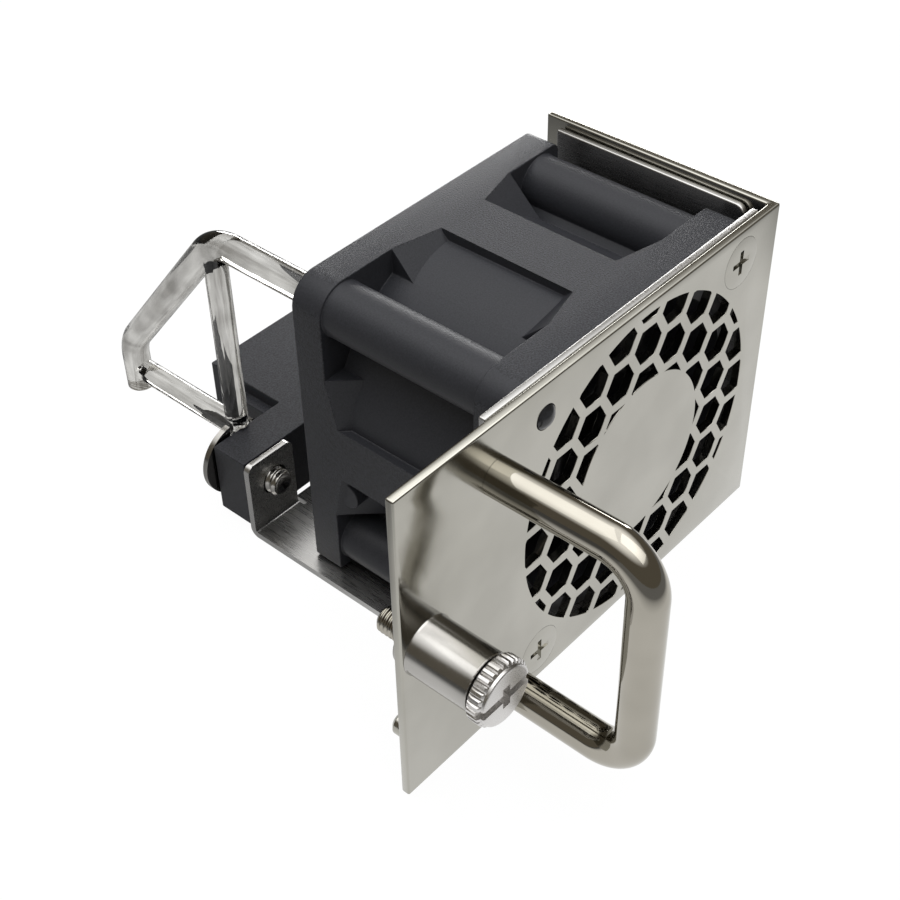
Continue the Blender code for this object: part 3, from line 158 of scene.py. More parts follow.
def circled(
    centre: Pair, radius: float | np.ndarray, turn: np.ndarray, y: float | np.ndarray
) -> np.ndarray:
    """Return points about an axis along y.

    A point is the axis plus its radius times the cosine and sine of the turn, at its own y.

    Args:
        centre: x and z of the axis.
        radius: Distance of each point from it.
        turn: Angle of each point in radians, from the right towards the top.
        y: Each point's y.

    Returns:
        The points, in the last dimension.
    """
    x, z = centre[0] + radius * np.cos(turn), centre[1] + radius * np.sin(turn)
    return np.stack(np.broadcast_arrays(x, y, z), axis=-1)


def round_turn(columns: int) -> np.ndarray:
    """Return the angles of one full turn in equal steps."""
    return np.linspace(0, math.tau, columns, endpoint=False)


def arc(centre: Pair, radius: float, start: float, end: float, steps: int = 12) -> np.ndarray:
    """Return points on a circle, from one angle to another.

    A point is the centre plus the radius times the cosine and sine of its angle.

    Args:
        centre: Centre in the drawing.
        radius: Radius in mm.
        start: First angle in degrees.
        end: Last angle in degrees.
        steps: Number of equal steps.

    Returns:
        The points, as an array of points x 2.
    """
    angles = np.radians(np.linspace(start, end, steps + 1))
    return np.stack((centre[0] + radius * np.cos(angles), centre[1] + radius * np.sin(angles)), axis=-1)


def outline(*parts: object) -> np.ndarray:
    """Return one drawing from single points and rows of points, in order."""
    return np.concatenate([np.atleast_2d(np.asarray(part, float)) for part in parts])


def prism(
    name: str, drawing: np.ndarray, plane: Plane, start: float, end: float, turn: float = 0.0
) -> Solid:
    """Carry a flat drawing straight along its plane's thickness axis.

    Args:
        name: The object's name.
        drawing: The outline, as points x 2.
        plane: How the drawing lies in the panel frame.
        start: Where the thickness starts.
        end: Where it ends.
        turn: Turn about the fan's axis, in radians.

    Returns:
        The object.
    """
    across, up, thick = plane.value
    rings = np.zeros((2, len(drawing), 3))
    rings[:, :, across] = drawing[:, 0]
    rings[:, :, up] = drawing[:, 1]
    rings[0, :, thick] = start
    rings[1, :, thick] = end
    return loft(name, spun(rings, turn))


def block(name: str, x: Pair, y: Pair, z: Pair, turn: float = 0.0) -> Solid:
    """Carry a rectangle in plan from one level to another."""
    drawing = outline((x[0], y[0]), (x[1], y[0]), (x[1], y[1]), (x[0], y[1]))
    return prism(name, drawing, Plane.PLAN, z[0], z[1], turn)


def revolve(name: str, centre: Pair, profile: np.ndarray, columns: int = 96, closed: bool = False) -> Solid:
    """Turn a profile about an axis along y.

    Args:
        name: The object's name.
        centre: x and z of the axis.
        profile: Radius and y of each point, as points x 2.
        columns: Number of steps round the axis.
        closed: True where the profile closes on itself, as for a ring.

    Returns:
        The object.
    """
    return loft(name, circled(centre, profile[:, :1], round_turn(columns), profile[:, 1:]), closed)


def rod(name: str, centre: Pair, radius: float, y: Pair, columns: int = 64) -> Solid:
    """Turn a plain round bar along y."""
    return revolve(name, centre, outline((radius, y[0]), (radius, y[1])), columns)


def threaded(name: str, centre: Pair, radius: float, y: Pair, pitch: float, tip: float) -> Solid:
    """Turn a threaded bar whose tip lies at the second y.

    The radius drops from the crest by the thread's depth times half of one minus the cosine of a
    full turn for each pitch plus the turn itself, which makes one rounded helix. At the tip the bar
    narrows by a chamfer and has a shallow dimple.

    Args:
        name: The object's name.
        centre: x and z of the axis.
        radius: Crest radius in mm.
        y: Start and tip of the bar.
        pitch: Distance between two crests.
        tip: Width of the tip's chamfer.

    Returns:
        The object.
    """
    rows_per_pitch, depth_share = 16, 0.36
    rows = max(8, int(abs(y[1] - y[0]) / pitch * rows_per_pitch))
    along = np.linspace(0, 1, rows + 1)[:, None]
    height = y[0] + (y[1] - y[0]) * along
    turn = round_turn(48)[None, :]
    wave = (1 - np.cos(math.tau * height / pitch + turn)) / 2
    limit = np.minimum(radius, radius - tip + np.abs(y[1] - height))
    rings = circled(centre, np.minimum(radius - depth_share * pitch * wave, limit), turn, height)
    middle = np.array((centre[0], y[1], centre[1]))
    inward = np.array((0.0, math.copysign(0.3, y[0] - y[1]), 0.0))
    rim = middle + (rings[-1:] - middle) * 0.75
    floor = middle + (rings[-1:] - middle) * 0.45 + inward
    return loft(name, np.concatenate((rings, rim, floor)))


def bent_path(corners: np.ndarray, radius: float, steps: int = 20) -> tuple[np.ndarray, np.ndarray]:
    """Return a path of straight runs whose corners are arcs, in a side view's y and z.

    At each corner the arc's centre lies one radius to the inner side of the point where the bend
    starts, and the radius swings round it by the angle between the two runs.

    Args:
        corners: The path's corners, as points x 2.
        radius: Radius of every bend.
        steps: Steps in each bend.

    Returns:
        The path's points and its directions, each as points x 2.
    """
    corners = np.asarray(corners, float)
    ways = np.diff(corners, axis=0)
    ways /= np.linalg.norm(ways, axis=1)[:, None]
    points, headings = [corners[:1]], [ways[:1]]
    for corner, into, out in zip(corners[1:-1], ways, ways[1:]):
        cross = into[0] * out[1] - into[1] * out[0]
        angle = math.atan2(cross, float(np.dot(into, out)))
        side = math.copysign(1.0, angle)
        start = corner - into * radius * math.tan(abs(angle) / 2)
        inward = side * np.array((-into[1], into[0]))
        turn = np.linspace(0, angle, steps + 1)[:, None]
        spin = np.concatenate((np.cos(turn), np.sin(turn)), axis=1)

        def swung(way: np.ndarray) -> np.ndarray:
            """Return a direction turned by every step of the bend."""
            along, aside = spin[:, 0], spin[:, 1]
            return np.stack((way[0] * along - way[1] * aside, way[0] * aside + way[1] * along), axis=-1)

        points.append(start + radius * inward - radius * swung(inward))
        headings.append(swung(into))
    points.append(corners[-1:])
    headings.append(ways[-1:])
    return np.concatenate(points), np.concatenate(headings)


def sweep(name: str, x: float, corners: np.ndarray, radius: float, bend: float) -> Solid:
    """Carry a circle along a bent path that lies at one x.

    Each ring stands square to the path: one of its axes is the panel's x and the other is the
    path's direction turned by a quarter.

    Args:
        name: The object's name.
        x: Where the path lies.
        corners: The path's corners in y and z.
        radius: The bar's radius.
        bend: Radius of the path's bends.

    Returns:
        The object.
    """
    points, headings = bent_path(corners, bend)
    turn = round_turn(64)[None, :]
    y = points[:, :1] - radius * headings[:, 1:] * np.sin(turn)
    z = points[:, 1:] + radius * headings[:, :1] * np.sin(turn)
    return loft(name, np.stack(np.broadcast_arrays(x + radius * np.cos(turn), y, z), axis=-1))


def combine(target: Solid, operation: str, *tools: Solid) -> Solid:
    """Combine a solid with a group of others in one exact Boolean, and keep the result as its mesh.

    Args:
        target: The solid to change.
        operation: DIFFERENCE, UNION or INTERSECT.
        tools: The other solids, which are used up.

    Returns:
        The target.
    """
    scene = bpy.context.scene.collection
    group = bpy.data.collections.new(target.name + "_tools")
    scene.children.link(group)
    scene.objects.link(target)
    for tool in tools:
        group.objects.link(tool)
    modifier = target.modifiers.new("Combine", "BOOLEAN")
    modifier.operation = operation
    modifier.solver = "EXACT"
    modifier.operand_type = "COLLECTION"
    modifier.collection = group
    depsgraph = bpy.context.evaluated_depsgraph_get()
    mesh = bpy.data.meshes.new_from_object(target.evaluated_get(depsgraph))
    target.modifiers.clear()
    mesh.materials.clear()
    target.data = mesh
    for tool in tools:
        bpy.data.objects.remove(tool, do_unlink=True)
    bpy.data.collections.remove(group)
    scene.objects.unlink(target)
    return target


def eased(obj: Solid, width: float, segments: int = 3) -> Solid:
    """Round a blank's edges before it is cut, where two faces meet at more than 60 degrees.

    Args:
        obj: The blank.
        width: Radius of the rounding in mm.
        segments: Steps across it.

    Returns:
        The blank.
    """
    shape = bmesh.new()
    shape.from_mesh(obj.data)
    sharp = [edge for edge in shape.edges if edge.calc_face_angle(0.0) > math.radians(60)]
    bmesh.ops.bevel(
        shape, geom=sharp, offset=width * MM, segments=segments, profile=0.5, affect="EDGES",
        clamp_overlap=False,
    )
    shape.to_mesh(obj.data)
    shape.free()
    return obj


def cleaned(obj: Solid) -> Solid:
    """Merge a cut solid's flat faces and doubled points, so that its edges can be rounded evenly."""
    shape = bmesh.new()
    shape.from_mesh(obj.data)
    bmesh.ops.remove_doubles(shape, verts=shape.verts, dist=2e-6)
    bmesh.ops.dissolve_limit(shape, angle_limit=math.radians(0.2), verts=shape.verts, edges=shape.edges)
    shape.to_mesh(obj.data)
    shape.free()
    return obj


def dress(
    obj: Solid,
    material: Look,
    slot: str,
    *nodes: str,
    body: Body = Body.TRAY,
    bevel: float = 0.0,
    angle: float = 40.0,
    segments: int = 2,
    clamp: bool = True,
) -> Solid:
    """Put a finished piece in the scene with its finish, its broken edges and its body.

    Args:
        obj: The piece.
        material: Its finish.
        slot: The record's material slot; not used.
        nodes: The CAD nodes that it stands for.
        body: The body that it rides on.
        bevel: Width of its edge break in mm.
        angle: Edges sharper than this many degrees are broken.
        segments: Steps across each edge break.
        clamp: True where the smallest edge limits the width everywhere.

    Returns:
        The piece.
    """
    bpy.context.scene.collection.objects.link(obj)
    obj.data.name = obj.name
    obj.data.materials.append(material)
    obj.data.shade_smooth()
    obj.data.set_sharp_from_angle(angle=math.radians(min(angle, 40.0)))
    if bevel:
        edge = obj.modifiers.new("Edge", "BEVEL")
        edge.width = bevel * MM
        edge.segments = segments
        edge.limit_method = "ANGLE"
        edge.angle_limit = math.radians(angle)
        edge.use_clamp_overlap = clamp
        edge.harden_normals = True
    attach(obj, body.value)
    if nodes:
        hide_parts(*nodes)
    LOG.info("%s: %d faces", obj.name, len(obj.data.polygons))
    return obj


# Finishes


def linear(hex_colour: str) -> tuple[float, float, float, float]:
    """Turn an sRGB hex colour into linear red, green, blue and alpha."""
    value = np.array([int(hex_colour[k:k + 2], 16) for k in (1, 3, 5)]) / 255
    low = value / 12.92
    high = ((value + 0.055) / 1.055) ** 2.4
    return (*np.where(value <= 0.04045, low, high).tolist(), 1.0)


def add_node(
    tree: Tree, kind: str, settings: dict | None = None, links: dict | None = None
) -> bpy.types.Node:
    """Add a node with its settings and links.

    Args:
        tree: The node tree.
        kind: The node's type.
        settings: Values of the node's own options, or else of its inputs, by name or number.
        links: The socket that feeds each input, by the input's name or number.

    Returns:
        The node.
    """
    node = tree.nodes.new(kind)
    for key, value in (settings or {}).items():
        if isinstance(key, str) and hasattr(node, key):
            setattr(node, key, value)
        else:
            node.inputs[key].default_value = value
    for key, socket in (links or {}).items():
        tree.links.new(socket, node.inputs[key])
    return node


def start_material(name: str) -> tuple[Look, Tree, bpy.types.Node]:
    """Return a new material, its node tree and its shader."""
    material = bpy.data.materials.new(name)
    material.use_nodes = True
    return material, material.node_tree, material.node_tree.nodes["Principled BSDF"]


def maths(tree: Tree, operation: str, *values: float | Socket) -> Socket:
    """Add a sum, a product or the like of sockets and plain numbers."""
    links = {key: value for key, value in enumerate(values) if isinstance(value, Socket)}
    settings = {key: value for key, value in enumerate(values) if key not in links}
    return add_node(tree, "ShaderNodeMath", {"operation": operation, **settings}, links).outputs[0]


def fade(tree: Tree, value: Socket, start: Pair, end: Pair = (0.0, 1.0)) -> Socket:
    """Add a value that is carried evenly from one span to another, and held at the spans' ends."""
    settings = {"From Min": start[0], "From Max": start[1], "To Min": end[0], "To Max": end[1]}
    return add_node(tree, "ShaderNodeMapRange", settings, {"Value": value}).outputs["Result"]


def blend(tree: Tree, share: Socket, first: bpy.types.Node, second: bpy.types.Node) -> Socket:
    """Add a mix of two shaders: the second one's share runs from 0 to 1."""
    links = {0: share, 1: first.outputs[0], 2: second.outputs[0]}
    return add_node(tree, "ShaderNodeMixShader", {}, links).outputs[0]


def own_place(tree: Tree) -> Socket:
    """Add the object's own coordinates."""
    return add_node(tree, "ShaderNodeTexCoord").outputs["Object"]


def grain(tree: Tree, size_mm: float, stretch: Triple = EVEN, detail: float = 2.0) -> Socket:
    """Add a noise pattern whose spots are size_mm across, drawn out along each axis by stretch."""
    squeezed = {"Scale": tuple(1 / share for share in stretch)}
    mapped = add_node(tree, "ShaderNodeMapping", squeezed, {"Vector": own_place(tree)})
    settings = {"Scale": 1 / (size_mm * MM), "Detail": detail, "Roughness": 0.55}
    return add_node(tree, "ShaderNodeTexNoise", settings, {"Vector": mapped.outputs["Vector"]}).outputs["Fac"]


def tint(tree: Tree, fac: Socket, low: str, high: str) -> Socket:
    """Add a blend of two hex colours, driven by a pattern."""
    ramp = add_node(tree, "ShaderNodeValToRGB", {}, {"Fac": fac})
    first, last = ramp.color_ramp.elements
    first.position, last.position = 0.35, 0.65
    first.color, last.color = linear(low), linear(high)
    return ramp.outputs["Color"]


def coat(tree: Tree, colour: Socket, fine: Socket, rough: Pair, relief: Pair) -> None:
    """Feed the shader's colour, roughness and relief.

    Args:
        tree: The material's node tree.
        colour: The blended colour.
        fine: The pattern of the roughness and the relief.
        rough: Roughness in the pattern's low and high spots.
        relief: The relief's depth in mm and its strength.
    """
    inputs = tree.nodes["Principled BSDF"].inputs
    settings = {"Strength": relief[1], "Distance": relief[0] * MM}
    raised = add_node(tree, "ShaderNodeBump", settings, {"Height": fine})
    tree.links.new(colour, inputs["Base Color"])
    tree.links.new(fade(tree, fine, (0.3, 0.7), rough), inputs["Roughness"])
    tree.links.new(raised.outputs["Normal"], inputs["Normal"])


@dataclass(frozen=True)
class Metal:
    """A bare, plated or polished metal.

    The tint varies between two close colours in patches, the roughness follows a fine grain and the
    same grain stands out by a hair, which breaks the reflections as rolling, grinding or polishing
    does.
    """

    name: str
    low: str
    high: str
    rough_low: float
    rough_high: float
    grain_mm: float = 0.15
    stretch: Triple = EVEN
    patch_mm: float = 9.0
    relief_mm: float = 0.002
    relief: float = 0.1

    def material(self) -> Look:
        """Return the metal's node material."""
        material, tree, shader = start_material(self.name)
        shader.inputs["Metallic"].default_value = 1.0
        colour = tint(tree, grain(tree, self.patch_mm), self.low, self.high)
        fine = grain(tree, self.grain_mm, self.stretch)
        coat(tree, colour, fine, (self.rough_low, self.rough_high), (self.relief_mm, self.relief))
        return material


@dataclass(frozen=True)
class Moulding:
    """A moulded plastic with a spark-eroded grain, which breaks its highlights into specks."""

    name: str
    low: str
    high: str
    rough_low: float
    rough_high: float
    grain_mm: float
    relief_mm: float
    relief: float
    smooth_inside_mm: float = 0.0
    specular: float = 0.5

    def material(self) -> Look:
        """Return the plastic's node material.

        Where smooth_inside_mm is given, the grain shows only that far from the fan's axis and beyond,
        measured as the larger of the two distances across, so the recessed walls stay smoother.
        """
        material, tree, shader = start_material(self.name)
        shader.inputs["Specular IOR Level"].default_value = self.specular
        fine = grain(tree, self.grain_mm, EVEN, 3.0)
        if self.smooth_inside_mm:
            from_axis = {"operation": "SUBTRACT", 1: (0.0, 0.0, FAN_Z * MM)}
            offset = add_node(tree, "ShaderNodeVectorMath", from_axis, {0: own_place(tree)})
            absolute = {"operation": "ABSOLUTE"}
            size = add_node(tree, "ShaderNodeVectorMath", absolute, {0: offset.outputs[0]})
            axes = add_node(tree, "ShaderNodeSeparateXYZ", {}, {0: size.outputs[0]}).outputs
            edge = self.smooth_inside_mm * MM
            reach = maths(tree, "MAXIMUM", axes[0], axes[2])
            outside = fade(tree, reach, (edge - 0.1 * MM, edge), (0.25, 1.0))
            fine = maths(tree, "MULTIPLY_ADD", maths(tree, "SUBTRACT", fine, 0.5), outside, 0.5)
        colour = tint(tree, fine, self.low, self.high)
        coat(tree, colour, fine, (self.rough_low, self.rough_high), (self.relief_mm, self.relief))
        return material


@dataclass(frozen=True)
class ClearAcrylic:
    """Clear moulded acrylic: it bends what lies behind it, greys it by a surface tint and has flow lines."""

    name: str = "clear_moulded_acrylic"
    low: str = "#7f7d79"
    high: str = "#d3d2ce"
    flow_mm: float = 0.5

    def material(self) -> Look:
        """Return the acrylic's node material."""
        material, tree, shader = start_material(self.name)
        shader.inputs["IOR"].default_value = 1.49
        shader.inputs["Transmission Weight"].default_value = 1.0
        flow = grain(tree, self.flow_mm, (1.0, 14.0, 14.0))
        coat(tree, tint(tree, flow, self.low, self.high), flow, (0.01, 0.05), (0.05, 0.6))
        return material


@dataclass(frozen=True)
class PaintedShadeLens:
    """The polished end of a light guide whose lamp is off, painted dark: its colour is painted shade for the
    dark bar seen through the clear end.
    """

    name: str = "acrylic_painted_dark"
    low: str = "#1c1d1f"
    high: str = "#2a2b2e"
    cloud_mm: float = 1.2

    def material(self) -> Look:
        """Return the lens's node material."""
        material, tree, shader = start_material(self.name)
        shader.inputs["Specular IOR Level"].default_value = 0.35
        cloud = grain(tree, self.cloud_mm)
        # Painted shade: a dark tint in place of the clear acrylic, for the dark seen through it.
        coat(tree, tint(tree, cloud, self.low, self.high), cloud, (0.06, 0.12), (0.004, 0.1))
        return material


@dataclass(frozen=True)
class Banded:
    """A stack of thin layers or turns of wire, which show as fine lines across it."""

    name: str
    low: str
    high: str
    metallic: float
    roughness: float
    pitch_mm: float
    direction: str

    def material(self) -> Look:
        """Return the material. One wave of the pattern is 1/20 of its scale's unit."""
        material, tree, shader = start_material(self.name)
        shader.inputs["Metallic"].default_value = self.metallic
        settings = {"bands_direction": self.direction, "Scale": math.tau / 20 / (self.pitch_mm * MM)}
        wave = add_node(tree, "ShaderNodeTexWave", settings, {"Vector": own_place(tree)}).outputs["Fac"]
        rough = (self.roughness, self.roughness + 0.1)
        coat(tree, tint(tree, wave, self.low, self.high), wave, rough, (0.03, 0.6))
        return material


FINISHES = {
    # Nickel-plated cold-rolled steel sheet: satin, with faint rolling lines along its length.
    "fascia_steel": Metal("nickel_plated_sheet", "#a3a199", "#acaaa2", 0.11, 0.18, 0.12, (30.0, 1.0, 30.0)),
    # The same sheet as delivered, brighter in reflections.
    "tray_steel": Metal("bright_rolled_sheet", "#b2b1af", "#bebdbb", 0.24, 0.34, 0.12, (1.0, 25.0, 1.0)),
    # Polished stainless bar: mirror bright with fine rings from the polishing wheel.
    "polished_steel": Metal("polished_stainless", "#9c988e", "#a6a298", 0.05, 0.1, 0.2, (4.0, 4.0, 1.0)),
    # Nickel-plated screw steel: bright, slightly orange-peeled plating.
    "screw_steel": Metal("nickel_plated_screw", "#9e9c98", "#aaa8a4", 0.13, 0.24, 0.1),
    # Turned and rolled screw heads, plated after: brighter and softer than a polished bar.
    "machined_steel": Metal("plated_machined_steel", "#c6c4c2", "#d2d0ce", 0.24, 0.36, 0.1),
    # Oil-tempered spring wire: greyer and smoother.
    "spring_steel": Metal("spring_wire", "#8c8d8e", "#9a9b9c", 0.2, 0.3, 0.1),
    # Glass-filled polyester, spark-eroded: the outer faces carry a grain, the pockets less of it.
    "fan_frame_plastic": Moulding(
        "grained_polyester", "#1e1f22", "#393a3f", 0.36, 0.56, 0.18, 0.055, 0.8, 18.9, 0.25
    ),
    # Black polyester of the impeller: smoother and glossier.
    "fan_blade_plastic": Moulding("black_polyester", "#0f1011", "#1a1b1d", 0.26, 0.38, 0.3, 0.01, 0.2),
    # Plain pressed steel of the rotor's cup.
    "rotor_steel": Metal("pressed_steel", "#6f7072", "#808183", 0.3, 0.42, 0.2),
    # Rubber-bonded ferrite: dull black brown with powder specks.
    "ferrite": Moulding("bonded_ferrite", "#2b2826", "#38342f", 0.6, 0.75, 0.15, 0.01, 0.3),
    # Lacquered electrical steel, stacked in 0.35 mm sheets.
    "stator_steel": Banded("laminated_steel", "#3c4046", "#5a5e64", 0.8, 0.4, 0.35, "Y"),
    # Enamelled copper wire, wound in turns 0.2 mm apart.
    "copper_winding": Banded("enamelled_copper", "#8f4420", "#c06a34", 0.9, 0.25, 0.2, "Y"),
    # Hardened bearing steel, ground bright.
    "bearing_steel": Metal("ground_bearing_steel", "#b3b4b5", "#c4c5c6", 0.1, 0.18, 0.08, (1.0, 20.0, 1.0)),
    # Glass epoxy board under green solder mask.
    "circuit_board": Moulding("green_solder_mask", "#0d4a26", "#136034", 0.25, 0.35, 0.6, 0.02, 0.3),
    # Black glass-filled nylon.
    "connector_plastic": Moulding(
        "black_nylon", "#1c1d20", "#34353a", 0.3, 0.46, 0.18, 0.03, 0.5, 0.0, 0.25
    ),
    # Gold over nickel on the contacts.
    "contact_gold": Metal("gold_plating", "#c79a45", "#d8ad58", 0.15, 0.25, 0.1),
}


# Sub-assemblies


@dataclass
class Panel:
    """The fascia sheet with its side flange, grille and holes."""

    width: float = 59.2
    outer_bend: float = 0.3
    inner_bend: float = 0.3
    flange: float = 30.1
    edge: float = 0.22
    pitch: float = 5.0
    hexagon: float = 2.25
    rim: float = 18.7
    hub_disc: float = 10.1
    led_radius: float = 1.36
    screw_head: float = 2.95
    screw_bore: float = 1.95
    handle_hole: float = 1.4
    ferrule_hole: float = 2.6
    pin_pocket: float = 1.4
    pin_pocket_floor: float = 0.4
    through: Pair = (-OVERCUT, SHEET + OVERCUT)

    def sheet(self) -> Solid:
        """Return the folded blank: an L in plan, carried up the panel's height."""
        width = self.width
        inner = (width - SHEET - self.inner_bend, SHEET + self.inner_bend)
        drawing = outline(
            (0, 0),
            arc((width - self.outer_bend, self.outer_bend), self.outer_bend, -90, 0),
            (width, self.flange),
            (width - SHEET, self.flange),
            arc(inner, self.inner_bend, 0, -90),
            (0, SHEET),
        )
        return eased(prism("fascia_plate", drawing, Plane.PLAN, 0, PANEL_HEIGHT), self.edge)

    def grille(self) -> Solid:
        """Return the cutter for the grille.

        The hexagons' centres lie on a triangular grid: each column is the pitch times the cosine of
        30 degrees from the last, and half a pitch higher. What lies between the hub disc and the rim
        is kept.
        """
        steps = np.arange(-10, 11)
        column, row = np.meshgrid(steps, steps)
        across = (column * self.pitch * math.cos(math.pi / 6)).ravel()
        up = ((row + column / 2) * self.pitch).ravel()
        away = np.hypot(across, up)
        near = (away < self.rim + self.hexagon) & (away > self.hub_disc - self.hexagon)
        across, up = across[near], up[near]
        turn = np.arange(6) * math.pi / 3
        points = np.zeros((len(across), 2, 6, 3))
        points[..., 0] = FAN_X + across[:, None, None] + self.hexagon * np.cos(turn)
        points[..., 2] = FAN_Z + up[:, None, None] + self.hexagon * np.sin(turn)
        points[:, 0, :, 1], points[:, 1, :, 1] = self.through
        ring = np.arange(6)
        after = np.roll(ring, -1)
        sides = np.stack((ring, after, after + 6, ring + 6), axis=-1)
        start = np.arange(len(across)) * 12
        quads = (sides[None] + start[:, None, None]).reshape(-1, 4).tolist()
        caps = (np.stack((ring[::-1], ring + 6))[None] + start[:, None, None]).reshape(-1, 6).tolist()
        cells = solid("grille_hexagons", points, quads + caps)
        low, high = self.through[0] / 2, SHEET + OVERCUT / 2
        profile = outline((self.rim, high), (self.rim, low), (self.hub_disc, low), (self.hub_disc, high))
        return combine(cells, "INTERSECT", revolve("grille_ring", FAN_AXIS, profile, 120, True))

    def build(self, finish: Look, handle_x: float, handle_z: Pair) -> None:
        """Cut every hole in the blank and put it in the scene.

        Args:
            finish: The sheet's material.
            handle_x: x of the handle's legs.
            handle_z: z of the handle's legs.
        """
        slope = (self.screw_head - self.screw_bore) / SHEET
        wide, bore = self.screw_head + OVERCUT * slope, self.screw_bore
        cone = outline((wide, -OVERCUT), (bore, SHEET), (bore, SHEET + OVERCUT))
        pocket = (self.pin_pocket_floor, SHEET + OVERCUT)
        plate = combine(
            self.sheet(),
            "DIFFERENCE",
            self.grille(),
            rod("led_hole", fan_hole(-1, 1), self.led_radius, self.through),
            *[revolve("countersink", fan_hole(side, side), cone, 64) for side in (-1, 1)],
            *[rod("handle_hole", (handle_x, z), self.handle_hole, self.through) for z in handle_z],
            rod("ferrule_hole", SCREW_AXIS, self.ferrule_hole, self.through),
            rod("pin_pocket", PIN_AXIS, self.pin_pocket, pocket),
        )
        dress(plate, finish, "fascia_steel", "front_fascia", bevel=0.08, angle=70.0, clamp=False)


@dataclass
class Chassis:
    """The folded tray: front wall, base plate, two tabs and the right wall."""

    thick: float = 0.8
    bend: float = 1.1
    front: float = 1.03
    back: float = 39.1
    left: float = 13.0
    right: float = 56.6
    plate_left: float = 15.6
    tab_width: float = 6.9
    tab_height: float = 10.5
    tab_corner: float = 1.0
    relief: float = 1.0
    tab_gap: float = 0.5
    side_x: float = 57.95
    side_front: float = 3.0
    side_corner: float = 1.2
    side_end: float = 27.9
    side_drop: float = 0.8
    opening: float = 18.9
    guide_hole: float = 1.9
    stud_hole: float = 1.85
    screw_hole: float = 1.95
    handle_notch: float = 2.55
    lip: float = 5.0
    edge: float = 0.18

    def channel(self) -> Solid:
        """Return the front wall, the base and the tab wall, drawn from the side."""
        thick, bend, front, back = self.thick, self.bend, self.front, self.back
        inner = bend - thick
        drawing = outline(
            (front, PANEL_HEIGHT),
            arc((front + bend, bend), bend, 180, 270),
            arc((back - bend, bend), bend, 270, 360),
            (back, self.tab_height),
            (back - thick, self.tab_height),
            arc((back - bend, bend), inner, 0, -90),
            arc((front + bend, bend), inner, 270, 180),
            (front + thick, PANEL_HEIGHT),
        )
        return eased(prism("tray_sheet", drawing, Plane.SIDE, self.left, self.right), self.edge)

    def side_wall(self) -> list[Solid]:
        """Return the right wall and its bend."""
        thick, bend, outer = self.thick, self.bend, self.side_x
        inner = bend - thick
        top = PANEL_HEIGHT - self.side_drop
        corner = (self.side_front + self.side_corner, top - self.side_corner)
        wall = outline(
            (self.side_end, top),
            (self.side_end, bend),
            (self.side_front, bend),
            arc(corner, self.side_corner, 180, 90),
        )
        foot = outline(
            (self.right - OVERCUT, 0),
            arc((outer - bend, bend), bend, 270, 360),
            (outer, bend + OVERCUT),
            (outer - thick, bend + OVERCUT),
            arc((outer - bend, bend), inner, 0, -90),
            (self.right - OVERCUT, thick),
        )
        return [
            eased(prism("tray_side", wall, Plane.SIDE, outer - thick, outer), self.edge),
            prism("tray_side_bend", foot, Plane.ELEVATION, self.side_front, self.side_end),
        ]

    def tab_corners(self, edges: tuple[float, ...]) -> list[Solid]:
        """Return cutters that round the upper corners of the tabs at these x, left and right in turn."""
        tools = []
        radius, top = self.tab_corner, self.tab_height
        for number, edge in enumerate(edges):
            inward = 1 if number % 2 == 0 else -1
            centre = (edge + inward * radius, top - radius)
            angles = (180, 90) if inward > 0 else (0, 90)
            drawing = outline(
                (edge - inward * OVERCUT, top - radius),
                arc(centre, radius, *angles),
                (centre[0], top + OVERCUT),
                (edge - inward * OVERCUT, top + OVERCUT),
            )
            y = (self.back - self.thick - OVERCUT, self.back + OVERCUT)
            tools.append(prism("tab_corner", drawing, Plane.ELEVATION, *y))
        return tools

    def build(self, finish: Look, handle_x: float, handle_z: Pair, studs: Pair, stud_z: float) -> None:
        """Join and cut the tray and put it in the scene.

        Args:
            finish: The sheet's material.
            handle_x: x of the handle's legs.
            handle_z: z of the handle's legs.
            studs: x of the connector's studs.
            stud_z: z of the studs.
        """
        left_tab, thick, back = self.plate_left + self.tab_width, self.thick, self.back
        right_tab = 2 * FAN_X - left_tab
        z = (-OVERCUT, self.tab_height + OVERCUT)
        behind = back + OVERCUT
        relief = block("relief", (self.left - 1, self.plate_left), (self.front + thick, behind), z)
        gap = block("gap", (left_tab, right_tab), (back - thick - self.relief, behind), z)
        tray = combine(self.channel(), "DIFFERENCE", relief, gap)
        between = (left_tab + self.tab_gap, right_tab - self.tab_gap)
        lip = block("lip", between, (back - self.lip, back), (0.0, thick))
        combine(tray, "UNION", *self.side_wall(), lip)
        span = (self.front - OVERCUT, self.front + thick + OVERCUT)
        through_tab = (back - 2 * OVERCUT, behind)
        tools = [
            rod("air_opening", FAN_AXIS, self.opening, span, 120),
            rod("guide_hole", fan_hole(-1, 1), self.guide_hole, span),
            *[rod("screw_hole", fan_hole(side, side), self.screw_hole, span) for side in (-1, 1)],
            *[rod("handle_notch", (handle_x, z), self.handle_notch, span) for z in handle_z],
            *[rod("stud_hole", (x, stud_z), self.stud_hole, through_tab) for x in studs],
            *self.tab_corners((self.plate_left, left_tab, right_tab, self.right)),
        ]
        combine(tray, "DIFFERENCE", *tools)
        dress(cleaned(tray), finish, "tray_steel", "tray_chassis", bevel=0.1, angle=70.0, segments=3)


